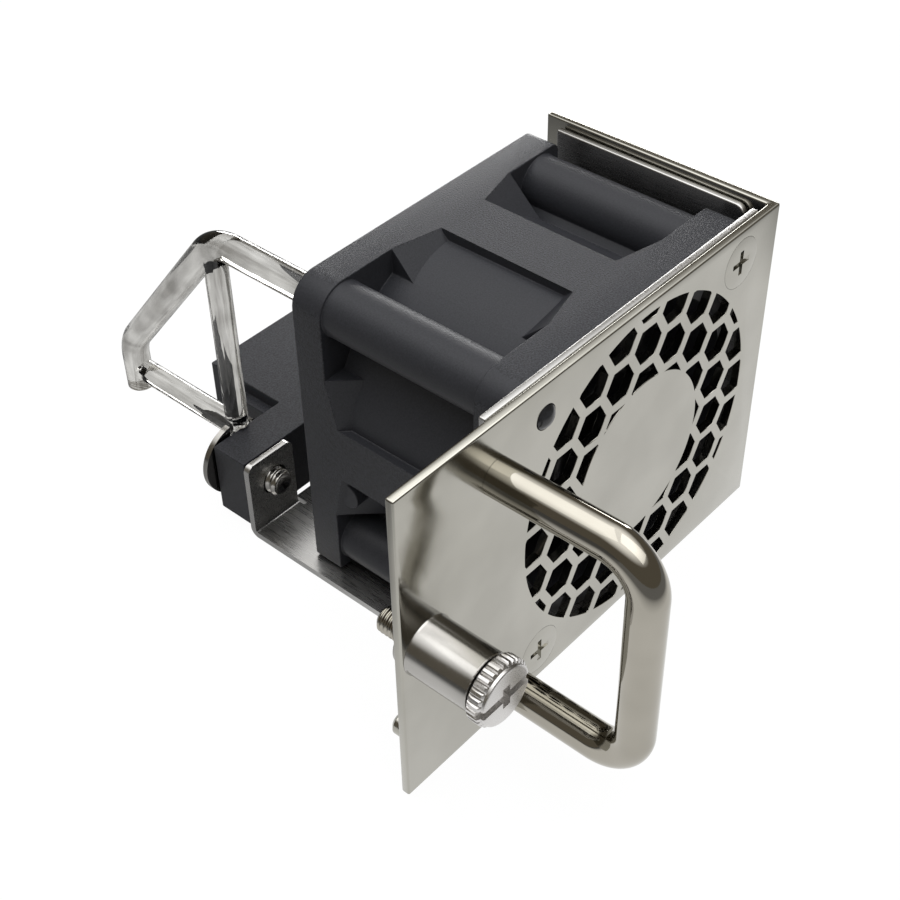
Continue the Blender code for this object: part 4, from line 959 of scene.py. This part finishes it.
@dataclass
class Handle:
    """The round pull handle and the two screws behind the fascia."""

    x: float = 13.45
    radius: float = 2.0
    reach: float = 17.1
    bend: float = 4.5
    levels: Pair = (6.35, 33.65)
    foot: float = -0.004
    hexagon: float = 0.85

    def build(self, bar: Look, screw: Look) -> None:
        """Bend the bar and turn its screws.

        Args:
            bar: The bar's finish.
            screw: The screws' finish.
        """
        low, high = self.levels
        corners = np.array(((self.foot, low), (-self.reach, low), (-self.reach, high), (self.foot, high)))
        handle = sweep("handle_bar", self.x, corners, self.radius, self.bend)
        dress(handle, bar, "polished_steel", "pull_handle", bevel=0.03)
        for name, z in (("lower", low), ("upper", high)):
            head = outline((1.8, 2.85), (2.1, 2.55), (2.25, 2.1), (2.25, 1.25), (1.15, 1.25), (1.15, 0.2))
            piece = revolve(f"handle_screw_{name}_head", (self.x, z), head)
            combine(piece, "DIFFERENCE", rod("hexagon", (self.x, z), self.hexagon, (1.85, 3.5), 6))
            dress(piece, screw, "screw_steel", f"handle_screw_{name}", bevel=0.06)


@dataclass
class Thumbscrew:
    """The staked ferrule and the captive screw with its knurled head."""

    flutes: int = 30
    flute_depth: float = 0.28
    flute_share: float = 0.26
    crest: float = 3.55
    head_front: float = -9.5
    slot_width: float = 1.0
    slot_depth: float = 0.8
    cross_span: float = 2.6

    def head(self) -> Solid:
        """Return the knurled head.

        Each row is a circle, cut by the flutes: in the middle of every flute the radius is held to
        the crest's radius less the flute depth, which rises evenly to the crest on both sides. Rows
        narrower than that stay round, so the flutes end in points on the two chamfers.
        """
        # The rows' radius and y, from the back to the front.
        rows = outline(
            (3.15, -7.50), (3.45, -7.62), (3.60, -7.72), (3.60, -8.30), (3.60, -8.90), (3.41, -9.01),
            (3.22, -9.12), (3.20, -9.40), (3.10, -9.48), (2.95, -9.50),
        )
        turn = round_turn(self.flutes * 10)
        phase = np.mod(self.flutes * turn / math.tau, 1)
        dip = np.clip(1 - np.abs(phase - 0.5) / self.flute_share, 0, 1)
        radius = np.minimum(rows[:, :1], self.crest - self.flute_depth * dip)
        return loft("thumbscrew_head", circled(SCREW_AXIS, radius, turn, rows[:, 1:]))

    def build(self, plated: Look, polished: Look, machined: Look) -> None:
        """Turn the ferrule, the head and the shank.

        Args:
            plated: The ferrule's finish.
            polished: The shank's finish.
            machined: The head's finish.
        """
        x, z = SCREW_AXIS
        sleeve = outline(
            (2.9, 1.75), (2.9, 1.25), (2.45, 1.25), (2.45, -0.004), (3.3, -0.004), (3.175, -0.22),
            (3.175, -7.15), (3.08, -7.25), (1.7, -7.25), (1.7, -6.75), (2.555, -6.75), (2.555, -0.6),
            (1.7, -0.6), (1.7, 1.75),
        )
        ferrule = revolve("ferrule_sleeve", SCREW_AXIS, sleeve, 96, True)
        dress(ferrule, plated, "screw_steel", "thumbscrew_ferrule", bevel=0.03)
        deep = (self.head_front - OVERCUT, self.head_front + self.slot_depth)
        half, span = self.slot_width / 2, self.cross_span / 2
        slot = block("slot", (x - 5, x + 5), deep, (z - half, z + half))
        cross = block("cross", (x - half, x + half), deep, (z - span, z + span))
        head = combine(self.head(), "DIFFERENCE", slot, cross)
        edges = {"bevel": 0.05, "angle": 60.0, "segments": 3}
        dress(head, machined, "polished_steel", "thumbscrew", body=Body.SCREW, **edges)
        collar = outline(
            (1.45, -7.55), (1.45, -3.7), (2.2, -3.7), (2.2, -3.2), (1.45, -3.2), (1.45, 1.0), (0.9, 1.0)
        )
        dress(revolve("thumbscrew_shank", SCREW_AXIS, collar), polished, "polished_steel", body=Body.SCREW)
        thread = threaded("thumbscrew_thread", SCREW_AXIS, 1.45, (0.9, 5.5), 0.5, 0.4)
        dress(thread, polished, "polished_steel", body=Body.SCREW)


@dataclass
class SmallScrews:
    """The countersunk fan screws and the locating pin."""

    recess_span: float = 2.9
    recess_width: float = 0.6
    recess_depth: float = 0.45

    def recess(self, x: float, z: float) -> list[Solid]:
        """Return the cross recess's two cutters, whose wings narrow towards the bottom.

        Each is a stack of three rectangles whose half length shrinks with depth.
        """
        depth = np.array((-OVERCUT, 0.0, self.recess_depth))[:, None]
        length = np.array((1.0, 1.0, 0.5)) * self.recess_span / 2
        along = np.stack((-length, length, length, -length), axis=-1)
        aside = np.array((-1, -1, 1, 1)) * self.recess_width / 2
        level = np.stack(np.broadcast_arrays(x + along, depth, z + aside), axis=-1)
        upright = np.stack(np.broadcast_arrays(x - aside, depth, z + along), axis=-1)
        return [loft("recess", level), loft("recess", upright)]

    def build(self, plated: Look) -> None:
        """Turn the two screws and the pin.

        Args:
            plated: Their finish.
        """
        profile = outline((1.5, 1.6), (1.5, 1.0), (2.86, 0.06), (2.92, 0.0), (2.8, -0.02))
        for name, side in (("upper", 1), ("lower", -1)):
            place = fan_hole(side, side)
            head = revolve(f"fan_screw_{name}_head", place, profile)
            combine(head, "DIFFERENCE", *self.recess(*place))
            dress(head, plated, "screw_steel", f"fan_screw_{name}", bevel=0.04)
            shank = threaded(f"fan_screw_{name}_thread", place, 1.5, (1.5, 9.0), 0.6, 0.5)
            dress(shank, plated, "screw_steel")
        pin = revolve("pin_stub", PIN_AXIS, outline((1.3, 0.65), (1.3, 4.0), (0.9, 4.4)))
        dress(pin, plated, "screw_steel", "locating_pin", bevel=0.06)


@dataclass
class FanFrame:
    """The fan's moulded frame, drawn about its axis."""

    side: float = 38.0
    front: float = 1.86
    corner: float = 3.4
    right_corner: float = 1.1
    foot_corner: float = 0.4
    flange: float = 4.0
    duct: float = 17.2
    wall: float = 0.9
    hole: float = 1.95
    tube: float = 3.1
    tube_inset: float = 0.4
    web: float = 2.4
    bridge: float = 6.9
    bridge_shift: float = 1.15
    ramp: float = 6.0
    ramp_rise: float = 1.35
    wedge_lean: float = 1.0
    wedge_drop: float = 7.0
    hub: float = 9.75
    base: float = 28.7
    strut: float = 1.8
    edge: float = 0.25

    def bridge_middle(self, quarter: int) -> float:
        """Return where one bridge's middle lies across its side; opposite bridges face each other."""
        return FAN_X + (self.bridge_shift if quarter < 2 else -self.bridge_shift)

    def bridge_keep(self, quarter: int) -> Solid:
        """Return one bridge between the flanges, whose ends flare into ramps."""
        middle = self.bridge_middle(quarter)
        low, high = FAN_FRONT + self.flange, FAN_REAR - self.flange
        near, far = self.bridge / 2, self.bridge / 2 + self.ramp
        rise = self.ramp_rise
        half = outline(
            (far, low - OVERCUT), (far, low), (near, low + rise), (near, high - rise), (far, high),
            (far, high + OVERCUT),
        )
        drawing = outline((middle, 0.0) + half, ((middle, 0.0) + half * (-1, 1))[::-1])
        z = (FAN_Z + self.duct - OVERCUT, FAN_Z + self.side / 2 + 2 * OVERCUT)
        return prism("bridge", drawing, Plane.PLAN, *z, turn=QUARTER * quarter)

    def wedge_keep(self, quarter: int, side: int, end: int) -> Solid:
        """Return one wedge in the corner of a bridge and a flange.

        Its face leans from the bridge's ramp at the top down to the duct: a section is a polygon in
        y and z, and it is carried across from the bridge to the end of the ramp, while its top edge
        moves along the ramp.

        Args:
            quarter: Which side of the frame.
            side: Which side of the bridge, -1 or 1.
            end: Which flange, -1 for the front and 1 for the rear.

        Returns:
            The wedge.
        """
        middle = self.bridge_middle(quarter)
        flange = FAN_REAR - self.flange if end > 0 else FAN_FRONT + self.flange
        top, drop, lap = FAN_Z + self.side / 2, self.wedge_drop, 0.5
        across = middle + side * np.array((self.bridge / 2 - lap, self.bridge / 2 + self.ramp))
        shift = np.array((self.ramp_rise * (1 + lap / self.ramp), 0.0))
        rings = np.zeros((2, 5, 3))
        rings[:, :, 0] = across[:, None]
        rings[:, :, 2] = (top + OVERCUT, top + OVERCUT, top, top - drop, top - drop)
        rings[:, 0, 1] = rings[:, 4, 1] = flange + end * OVERCUT
        rings[:, 1, 1] = rings[:, 2, 1] = flange - end * shift
        rings[:, 3, 1] = flange - end * (shift + drop * self.wedge_lean)
        return loft("wedge", spun(rings, QUARTER * quarter))

    def pockets(self) -> Solid:
        """Return the cutter that leaves the duct, the corner tubes, the webs and the bridges."""
        half = self.side / 2 + OVERCUT
        y = (FAN_FRONT + self.flange, FAN_REAR - self.flange)
        over = (y[0] - OVERCUT, y[1] + OVERCUT)
        room = block("pockets", (FAN_X - half, FAN_X + half), y, (FAN_Z - half, FAN_Z + half))
        keep = [rod("duct", FAN_AXIS, self.duct + self.wall, over, 120)]
        for quarter in range(4):
            keep.append(self.bridge_keep(quarter))
            keep += [self.wedge_keep(quarter, side, end) for side in (-1, 1) for end in (-1, 1)]
            diagonal = QUARTER / 2 + QUARTER * quarter
            reach = (FAN_X + self.duct, FAN_X + HOLE_OFFSET * math.sqrt(2))
            width = (FAN_Z - self.web / 2, FAN_Z + self.web / 2)
            keep.append(block("web", reach, over, width, diagonal))
        reach = HOLE_OFFSET - self.tube_inset
        for side, level in CORNERS:
            keep.append(rod("tube", (FAN_X + side * reach, FAN_Z + level * reach), self.tube, over))
        return combine(room, "DIFFERENCE", *keep)

    def motor_mount(self) -> list[Solid]:
        """Return the lead boss, the struts, the motor base and its bearing tube."""
        wall = self.duct + self.wall / 2
        boss = outline(arc((24.8, FAN_Z - 7.05), 1.6, 0, 360, 24)[:-1])
        parts = [prism("lead_boss", boss, Plane.SIDE, FAN_X - 18.6, FAN_X - 16.0)]
        for quarter in range(4):
            x = (FAN_X + self.hub - OVERCUT, FAN_X + wall)
            z = (FAN_Z - self.strut / 2, FAN_Z + self.strut / 2)
            parts.append(block("strut", x, (27.7, 30.05), z, QUARTER / 2 + QUARTER * quarter))
        profile = outline(
            (self.hub, FAN_REAR), (self.hub, self.base), (3.5, self.base), (3.5, 8.2),
            (2.75, 8.2), (2.75, FAN_REAR),
        )
        parts.append(revolve("motor_base", FAN_AXIS, profile, 96, True))
        return parts

    def build(self, finish: Look) -> None:
        """Cut the frame from a block, add the motor mount and put it in the scene.

        The block's corners are quarter circles, each with its own radius.

        Args:
            finish: The frame's plastic.
        """
        radii = (self.right_corner, self.corner, self.foot_corner, self.foot_corner)
        arcs = []
        for quarter, ((side, level), radius) in enumerate(zip(((1, 1), (-1, 1), (-1, -1), (1, -1)), radii)):
            inset = self.side / 2 - radius
            centre = (FAN_X + side * inset, FAN_Z + level * inset)
            arcs.append(arc(centre, radius, 90 * quarter, 90 * quarter + 90))
        blank = prism("fan_frame", outline(*arcs), Plane.ELEVATION, self.front, FAN_REAR)
        bore = (self.front - OVERCUT, FAN_REAR + OVERCUT)
        holes = [rod("hole", fan_hole(*corner), self.hole, bore) for corner in CORNERS]
        duct = rod("bore", FAN_AXIS, self.duct, bore, 120)
        housing = combine(eased(blank, self.edge), "DIFFERENCE", self.pockets(), duct, *holes)
        combine(housing, "UNION", *self.motor_mount())
        dress(housing, finish, "fan_frame_plastic", "fan_housing", bevel=0.12, angle=50.0, clamp=False)


@dataclass
class Impeller:
    """The hub and its blades, which turn with the rotor."""

    hub: float = 9.75
    wall: float = 0.75
    front: float = 3.3
    rear: float = 26.6
    tip: float = 16.6
    blades: int = 7
    sweep_deg: float = 42.0
    setback: float = 2.0
    length: float = 16.0
    thickness: float = 0.9

    def blade(self, number: int) -> Solid:
        """Return one blade.

        Along the chord the blade turns evenly about the axis while it runs back, with a little
        camber that follows a half sine. Its half thickness follows the square root of a sine, so
        both edges are round. Each ring is the section at one radius, from the hub to the tip.
        """
        along = np.linspace(0, 1, 20)
        across = np.concatenate((along, along[::-1][1:-1]))
        side = np.concatenate((np.ones(20), -np.ones(18)))
        radius = np.linspace(self.hub - self.wall / 2, self.tip, 10)[:, None]
        half = self.thickness / 2 * np.sqrt(np.sin(math.pi * np.clip(across, 0.004, 0.996)))
        camber = 0.05 * np.sin(math.pi * across)
        turn = math.radians(self.sweep_deg) * across + camber + side * half / radius
        turn = turn + math.tau * number / self.blades
        y = self.front + self.setback + self.length * across
        return loft(f"blade_{number + 1}", circled(FAN_AXIS, radius, turn, y))

    def build(self, finish: Look) -> None:
        """Turn the hub, then set its blades.

        Args:
            finish: The impeller's plastic.
        """
        inner = self.hub - self.wall
        profile = outline(
            (0.0, 4.3), (1.25, 4.3), (1.25, 7.3), (2.4, 7.3), (2.4, 4.3), (inner, 4.3),
            (inner, self.rear), (self.hub, self.rear),
            arc((self.hub - 1.0, self.front + 1.0), 1.0, 0, -90), (0.0, self.front),
        )
        hub = revolve("impeller_hub", FAN_AXIS, profile)
        combine(hub, "UNION", *[self.blade(number) for number in range(self.blades)])
        dress(hub, finish, "fan_blade_plastic", "fan_impeller", body=Body.ROTOR)


@dataclass
class LightGuide:
    """The clear moulding that carries the status light to the fascia."""

    radius: float = 1.65
    peak: float = 44.85
    drop: float = 63.0
    elbow: float = 13.9
    end: float = 7.3
    bend: float = 6.0
    strut: float = 1.35
    strut_y: float = 45.2
    foot: float = 1.39
    foot_z: float = 10.0
    foot_front: float = 44.6
    tip: float = 1.3

    def build(self, finish: Look, lens: Look) -> None:
        """Join the main run, the tip, the strut and the foot into one moulding.

        Args:
            finish: The clear plastic.
            lens: The look of its end in the fascia, painted shade in place of clear acrylic.
        """
        x, top = fan_hole(-1, 1)
        dome = outline((self.tip, 0.4), arc((0.0, 1.15), 1.75, -42, -90))
        dress(revolve("light_guide_lens", (x, top), dome, 64), lens, "clear_acrylic")
        corners = np.array(((1.25, top), (self.peak, top), (self.drop, self.elbow), (self.drop, self.end)))
        run = sweep("light_guide_run", x, corners, self.radius, self.bend)
        tip = rod("tip", (x, top), self.tip, (0.45, 2.5))
        rise = np.array(((self.strut_y, top), (self.strut_y, self.foot_z)))
        lie = np.array(((self.foot_front, self.foot_z), (self.drop, self.foot_z)))
        foot, strut = sweep("foot", x, lie, self.foot, 0), sweep("strut", x, rise, self.strut, 0)
        combine(run, "UNION", tip, foot, strut)
        combine(run, "DIFFERENCE", block("trim", (x - 3, x + 3), (39.35, self.foot_front), (6.7, 10.65)))
        dress(run, finish, "clear_acrylic", "light_guide", bevel=0.08, angle=50.0)


@dataclass
class Connector:
    """The blind-mating connector and the studs that hold its ears."""

    front: float = 39.35
    ear: float = 5.0
    half_span: float = 20.6
    bottom: float = 1.05
    height: float = 10.4
    body: float = 20.4
    depth: float = 16.8
    shoulder: float = 23.2
    shoulder_depth: float = 12.0
    shoulder_height: float = 8.9
    lap: float = 0.5
    slots: int = 6
    slot_pitch: float = 3.0
    ear_hole: float = 2.25
    studs: Pair = (19.4, 53.6)
    stud_z: float = 6.5

    def build(self, plastic: Look, plated: Look) -> None:
        """Join and cut the housing, then turn the studs.

        Args:
            plastic: The housing's plastic.
            plated: The studs' finish.
        """
        back, ear_back = self.front + self.depth, self.front + self.ear
        z = (self.bottom, self.height)
        inside = ear_back - self.lap

        def bar(name: str, half: float, y: Pair, z: Pair) -> Solid:
            """Return a block that reaches as far to the left as to the right of the middle."""
            return block(name, (FAN_X - half, FAN_X + half), y, z)

        housing = bar("connector_moulding", self.half_span, (self.front, ear_back), z)
        shoulder_back = self.front + self.shoulder_depth
        combine(
            housing,
            "UNION",
            bar("body", self.body / 2, (inside, back), z),
            bar("shoulder", self.shoulder / 2, (inside, shoulder_back), (self.bottom, self.shoulder_height)),
        )
        middles = [FAN_X + (k - (self.slots - 1) / 2) * self.slot_pitch for k in range(self.slots)]
        slot_y, ear_y = (back - 9.0, back + OVERCUT), (self.front - OVERCUT, ear_back + OVERCUT)
        slots = [block("slot", (x - 0.7, x + 0.7), slot_y, (2.6, 8.2)) for x in middles]
        holes = [rod("ear_hole", (x, self.stud_z), self.ear_hole, ear_y) for x in self.studs]
        combine(housing, "DIFFERENCE", *slots, *holes)
        dress(housing, plastic, "connector_plastic", "connector_housing", bevel=0.14)
        for name, x in zip(("left", "right"), self.studs):
            self.stud(name, x, plated)

    def stud(self, name: str, x: float, finish: Look) -> None:
        """Turn one stud: thread through tab and ear, thin flange and button behind.

        Args:
            name: Which stud.
            x: Where it stands.
            finish: Its plating.
        """
        back = self.front + self.ear + 0.25
        centre = (x, self.stud_z)
        profile = outline(
            (1.9, back - 0.3), (1.9, back), (4.8, back), (4.8, back + 0.7), (1.7, back + 0.7),
            (1.7, back + 1.65), (1.5, back + 1.8),
        )
        flange = revolve(f"stud_{name}_flange", centre, profile)
        if name == "left":
            combine(flange, "DIFFERENCE", block("notch", (18.81, 22.19), (back - 1, back + 3), (8.31, 13.0)))
        dress(flange, finish, "screw_steel", f"connector_stud_{name}", bevel=0.1)
        thread = threaded(f"stud_{name}_thread", centre, 1.65, (back - 0.1, 37.0), 0.9, 0.3)
        dress(thread, finish, "screw_steel")


@dataclass
class KeptParts:
    """The CAD nodes that show as they are, each under its finish."""

    finishes: dict[str, tuple[str, ...]] = field(
        default_factory=lambda: {
            "spring_steel": ("thrust_washer", "thumbscrew_spring"),
            "rotor_steel": ("rotor_yoke",),
            "ferrite": ("rotor_magnet",),
            "bearing_steel": ("fan_shaft", "shaft_clip", "bearing_front", "bearing_rear"),
            "stator_steel": ("stator_core",),
            "copper_winding": tuple(f"stator_coil_{k}" for k in range(1, 5)),
            "circuit_board": ("motor_circuit_board",),
            "contact_gold": tuple(f"contact_blade_{k}" for k in range(1, 7)),
        }
    )

    def dress(self, materials: dict[str, Look]) -> None:
        """Put each node's finish in its material slots.

        Args:
            materials: The finishes by slot name.
        """
        for slot, names in self.finishes.items():
            for name in names:
                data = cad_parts[name].data
                data.materials.clear()
                data.materials.append(materials[slot])
                LOG.info("%s: kept from the model", name)


# Studio


@dataclass
class Softbox:
    """A rectangular lamp that aims at the tray."""

    name: str
    place: Triple
    size: Pair
    watts: float
    aim: Triple = (0.0, 0.01, 0.015)

    def build(self) -> None:
        """Hang the lamp; places are in metres from the model's origin."""
        data = bpy.data.lights.new(self.name, "AREA")
        data.shape = "RECTANGLE"
        data.size, data.size_y = self.size
        data.energy = self.watts
        lamp = bpy.data.objects.new(self.name, data)
        lamp.location = self.place
        lamp.visible_camera = False
        lamp.rotation_euler = (Vector(self.aim) - Vector(self.place)).to_track_quat("-Z", "Y").to_euler()
        bpy.context.scene.collection.objects.link(lamp)


@dataclass
class Studio:
    """The camera, the lamps, the pale floor and the white surroundings."""

    azimuth: float = -47.93
    elevation: float = 41.45
    roll: float = -1.29
    place: Triple = (-0.10412, -0.08386, 0.13004)
    focal_px: float = 1586.1
    picture_px: float = 900.0
    sensor_mm: float = 36.0
    floor_white: float = 0.93
    overhead: float = 2.0
    horizon: str = "#716b60"

    def camera(self) -> None:
        """Stand the camera where the photograph was taken from."""
        turn, lift, tilt = (math.radians(v) for v in (self.azimuth, self.elevation, self.roll))
        back = Vector((math.sin(turn) * math.cos(lift), -math.cos(turn) * math.cos(lift), math.sin(lift)))
        right = Vector((0, 0, 1)).cross(back).normalized()
        up = back.cross(right)
        across = right * math.cos(tilt) + up * math.sin(tilt)
        upward = up * math.cos(tilt) - right * math.sin(tilt)
        data = bpy.data.cameras.new("camera")
        data.sensor_width = self.sensor_mm
        data.lens = self.focal_px / self.picture_px * self.sensor_mm
        data.clip_start = 0.005
        camera = bpy.data.objects.new("camera", data)
        axes = Matrix((across, upward, back)).transposed()
        camera.matrix_world = Matrix.Translation(self.place) @ axes.to_4x4()
        bpy.context.scene.collection.objects.link(camera)
        bpy.context.scene.camera = camera

    def floor(self) -> None:
        """Lay the pale floor, a wide disc of rings under the tray.

        It is white to the camera and through glass. In gloss it glows, with painted shade: white in front of
        the tray and darkening evenly behind it and further out, set by place rather than by the lamps.
        """
        radius = np.array((0.0, 0.2, 1.0, 6.0))[:, None]
        turn = round_turn(64)
        below = -0.00005
        points = np.stack(np.broadcast_arrays(radius * np.cos(turn), radius * np.sin(turn), below), axis=-1)
        index = np.arange(256).reshape(4, 64)
        corners = (index[:-1], np.roll(index[:-1], -1, 1), np.roll(index[1:], -1, 1), index[1:])
        mesh = bpy.data.meshes.new("floor")
        mesh.from_pydata(points.reshape(-1, 3).tolist(), [], np.stack(corners, -1).reshape(-1, 4).tolist())
        floor = bpy.data.objects.new("floor", mesh)
        bpy.context.scene.collection.objects.link(floor)
        mesh.materials.append(self.card())

    def card(self) -> Look:
        """Return the floor's material, whose glow in gloss carries painted shade."""
        material, tree, shader = start_material("matt_white_card")
        tree.links.new(tint(tree, grain(tree, 3.0), "#c2c2c2", "#c8c8c8"), shader.inputs["Base Color"])
        shader.inputs["Roughness"].default_value = 0.9
        place = own_place(tree)
        away = add_node(tree, "ShaderNodeVectorMath", {"operation": "LENGTH"}, {0: place})
        # Painted shade in gloss: the glow falls off with distance from the tray and towards the back.
        painted_gloss_falloff = fade(tree, away.outputs["Value"], (0.075, 0.14), (1.0, 0.2))
        axes = add_node(tree, "ShaderNodeSeparateXYZ", {}, {0: place})
        painted_shade_behind = fade(tree, axes.outputs[1], (-0.012, 0.02), (1.0, 0.35))
        path = add_node(tree, "ShaderNodeLightPath").outputs
        direct = maths(tree, "MAXIMUM", path["Is Camera Ray"], path["Is Transmission Ray"])
        level = maths(tree, "MAXIMUM", direct, maths(tree, "MULTIPLY", painted_gloss_falloff, painted_shade_behind))
        glow_with_painted_shade = add_node(tree, "ShaderNodeEmission", {"Color": (1.04, 1.04, 1.04, 1)}, {"Strength": level})
        seen = maths(tree, "MAXIMUM", direct, path["Is Glossy Ray"])
        mixed = blend(tree, maths(tree, "MULTIPLY", seen, self.floor_white), shader, glow_with_painted_shade)
        tree.links.new(mixed, tree.nodes["Material Output"].inputs["Surface"])
        return material

    def surroundings(self) -> None:
        """Make the world white to the camera, and a studio to everything else.

        As light and in gloss it is a broad white ceiling, which fades evenly to a warm dark wall
        between two heights of the direction's upward share.
        """
        world = bpy.data.worlds.new("white_surroundings")
        bpy.context.scene.world = world
        world.use_nodes = True
        tree = world.node_tree
        tree.nodes.clear()
        path = add_node(tree, "ShaderNodeLightPath")
        place = add_node(tree, "ShaderNodeTexCoord")
        axes = add_node(tree, "ShaderNodeSeparateXYZ", {}, {0: place.outputs["Generated"]})
        white = (1, 1, 1, 1)
        wall = add_node(tree, "ShaderNodeBackground", {"Color": linear(self.horizon)})
        ceiling = add_node(tree, "ShaderNodeBackground", {"Color": white, "Strength": self.overhead})
        room = blend(tree, fade(tree, axes.outputs[2], (0.54, 0.88)), wall, ceiling)
        paper = add_node(tree, "ShaderNodeBackground", {"Color": white})
        whole = blend(tree, path.outputs["Is Camera Ray"], room.node, paper)
        add_node(tree, "ShaderNodeOutputWorld", {}, {"Surface": whole})

    def build(self) -> None:
        """Set up the whole studio."""
        bpy.context.scene.view_settings.view_transform = "Standard"
        self.camera()
        self.floor()
        self.surroundings()
        Softbox("key", (-0.08, 0.22, 0.45), (0.5, 0.45), 0.42).build()
        Softbox("fill", (0.05, -0.22, 0.45), (0.4, 0.4), 0.55).build()
        Softbox("rim", (0.41, 0.285, 0.075), (0.45, 0.16), 1.8).build()


def main() -> None:
    """Build every sub-assembly in order, then the studio."""
    logging.basicConfig(level=logging.INFO, format="%(message)s")
    materials = {slot: finish.material() for slot, finish in FINISHES.items()}
    materials["clear_acrylic"] = ClearAcrylic().material()
    handle = Handle()
    connector = Connector()
    Panel().build(materials["fascia_steel"], handle.x, handle.levels)
    Chassis().build(materials["tray_steel"], handle.x, handle.levels, connector.studs, connector.stud_z)
    handle.build(materials["polished_steel"], materials["screw_steel"])
    Thumbscrew().build(materials["screw_steel"], materials["polished_steel"], materials["machined_steel"])
    SmallScrews().build(materials["fascia_steel"])
    FanFrame().build(materials["fan_frame_plastic"])
    Impeller().build(materials["fan_blade_plastic"])
    # The guide's end is dressed in painted shade, for the dark seen through it.
    LightGuide().build(materials["clear_acrylic"], PaintedShadeLens().material())
    connector.build(materials["connector_plastic"], materials["screw_steel"])
    KeptParts().dress(materials)
    Studio().build()


if __name__ == "__main__":
    main()
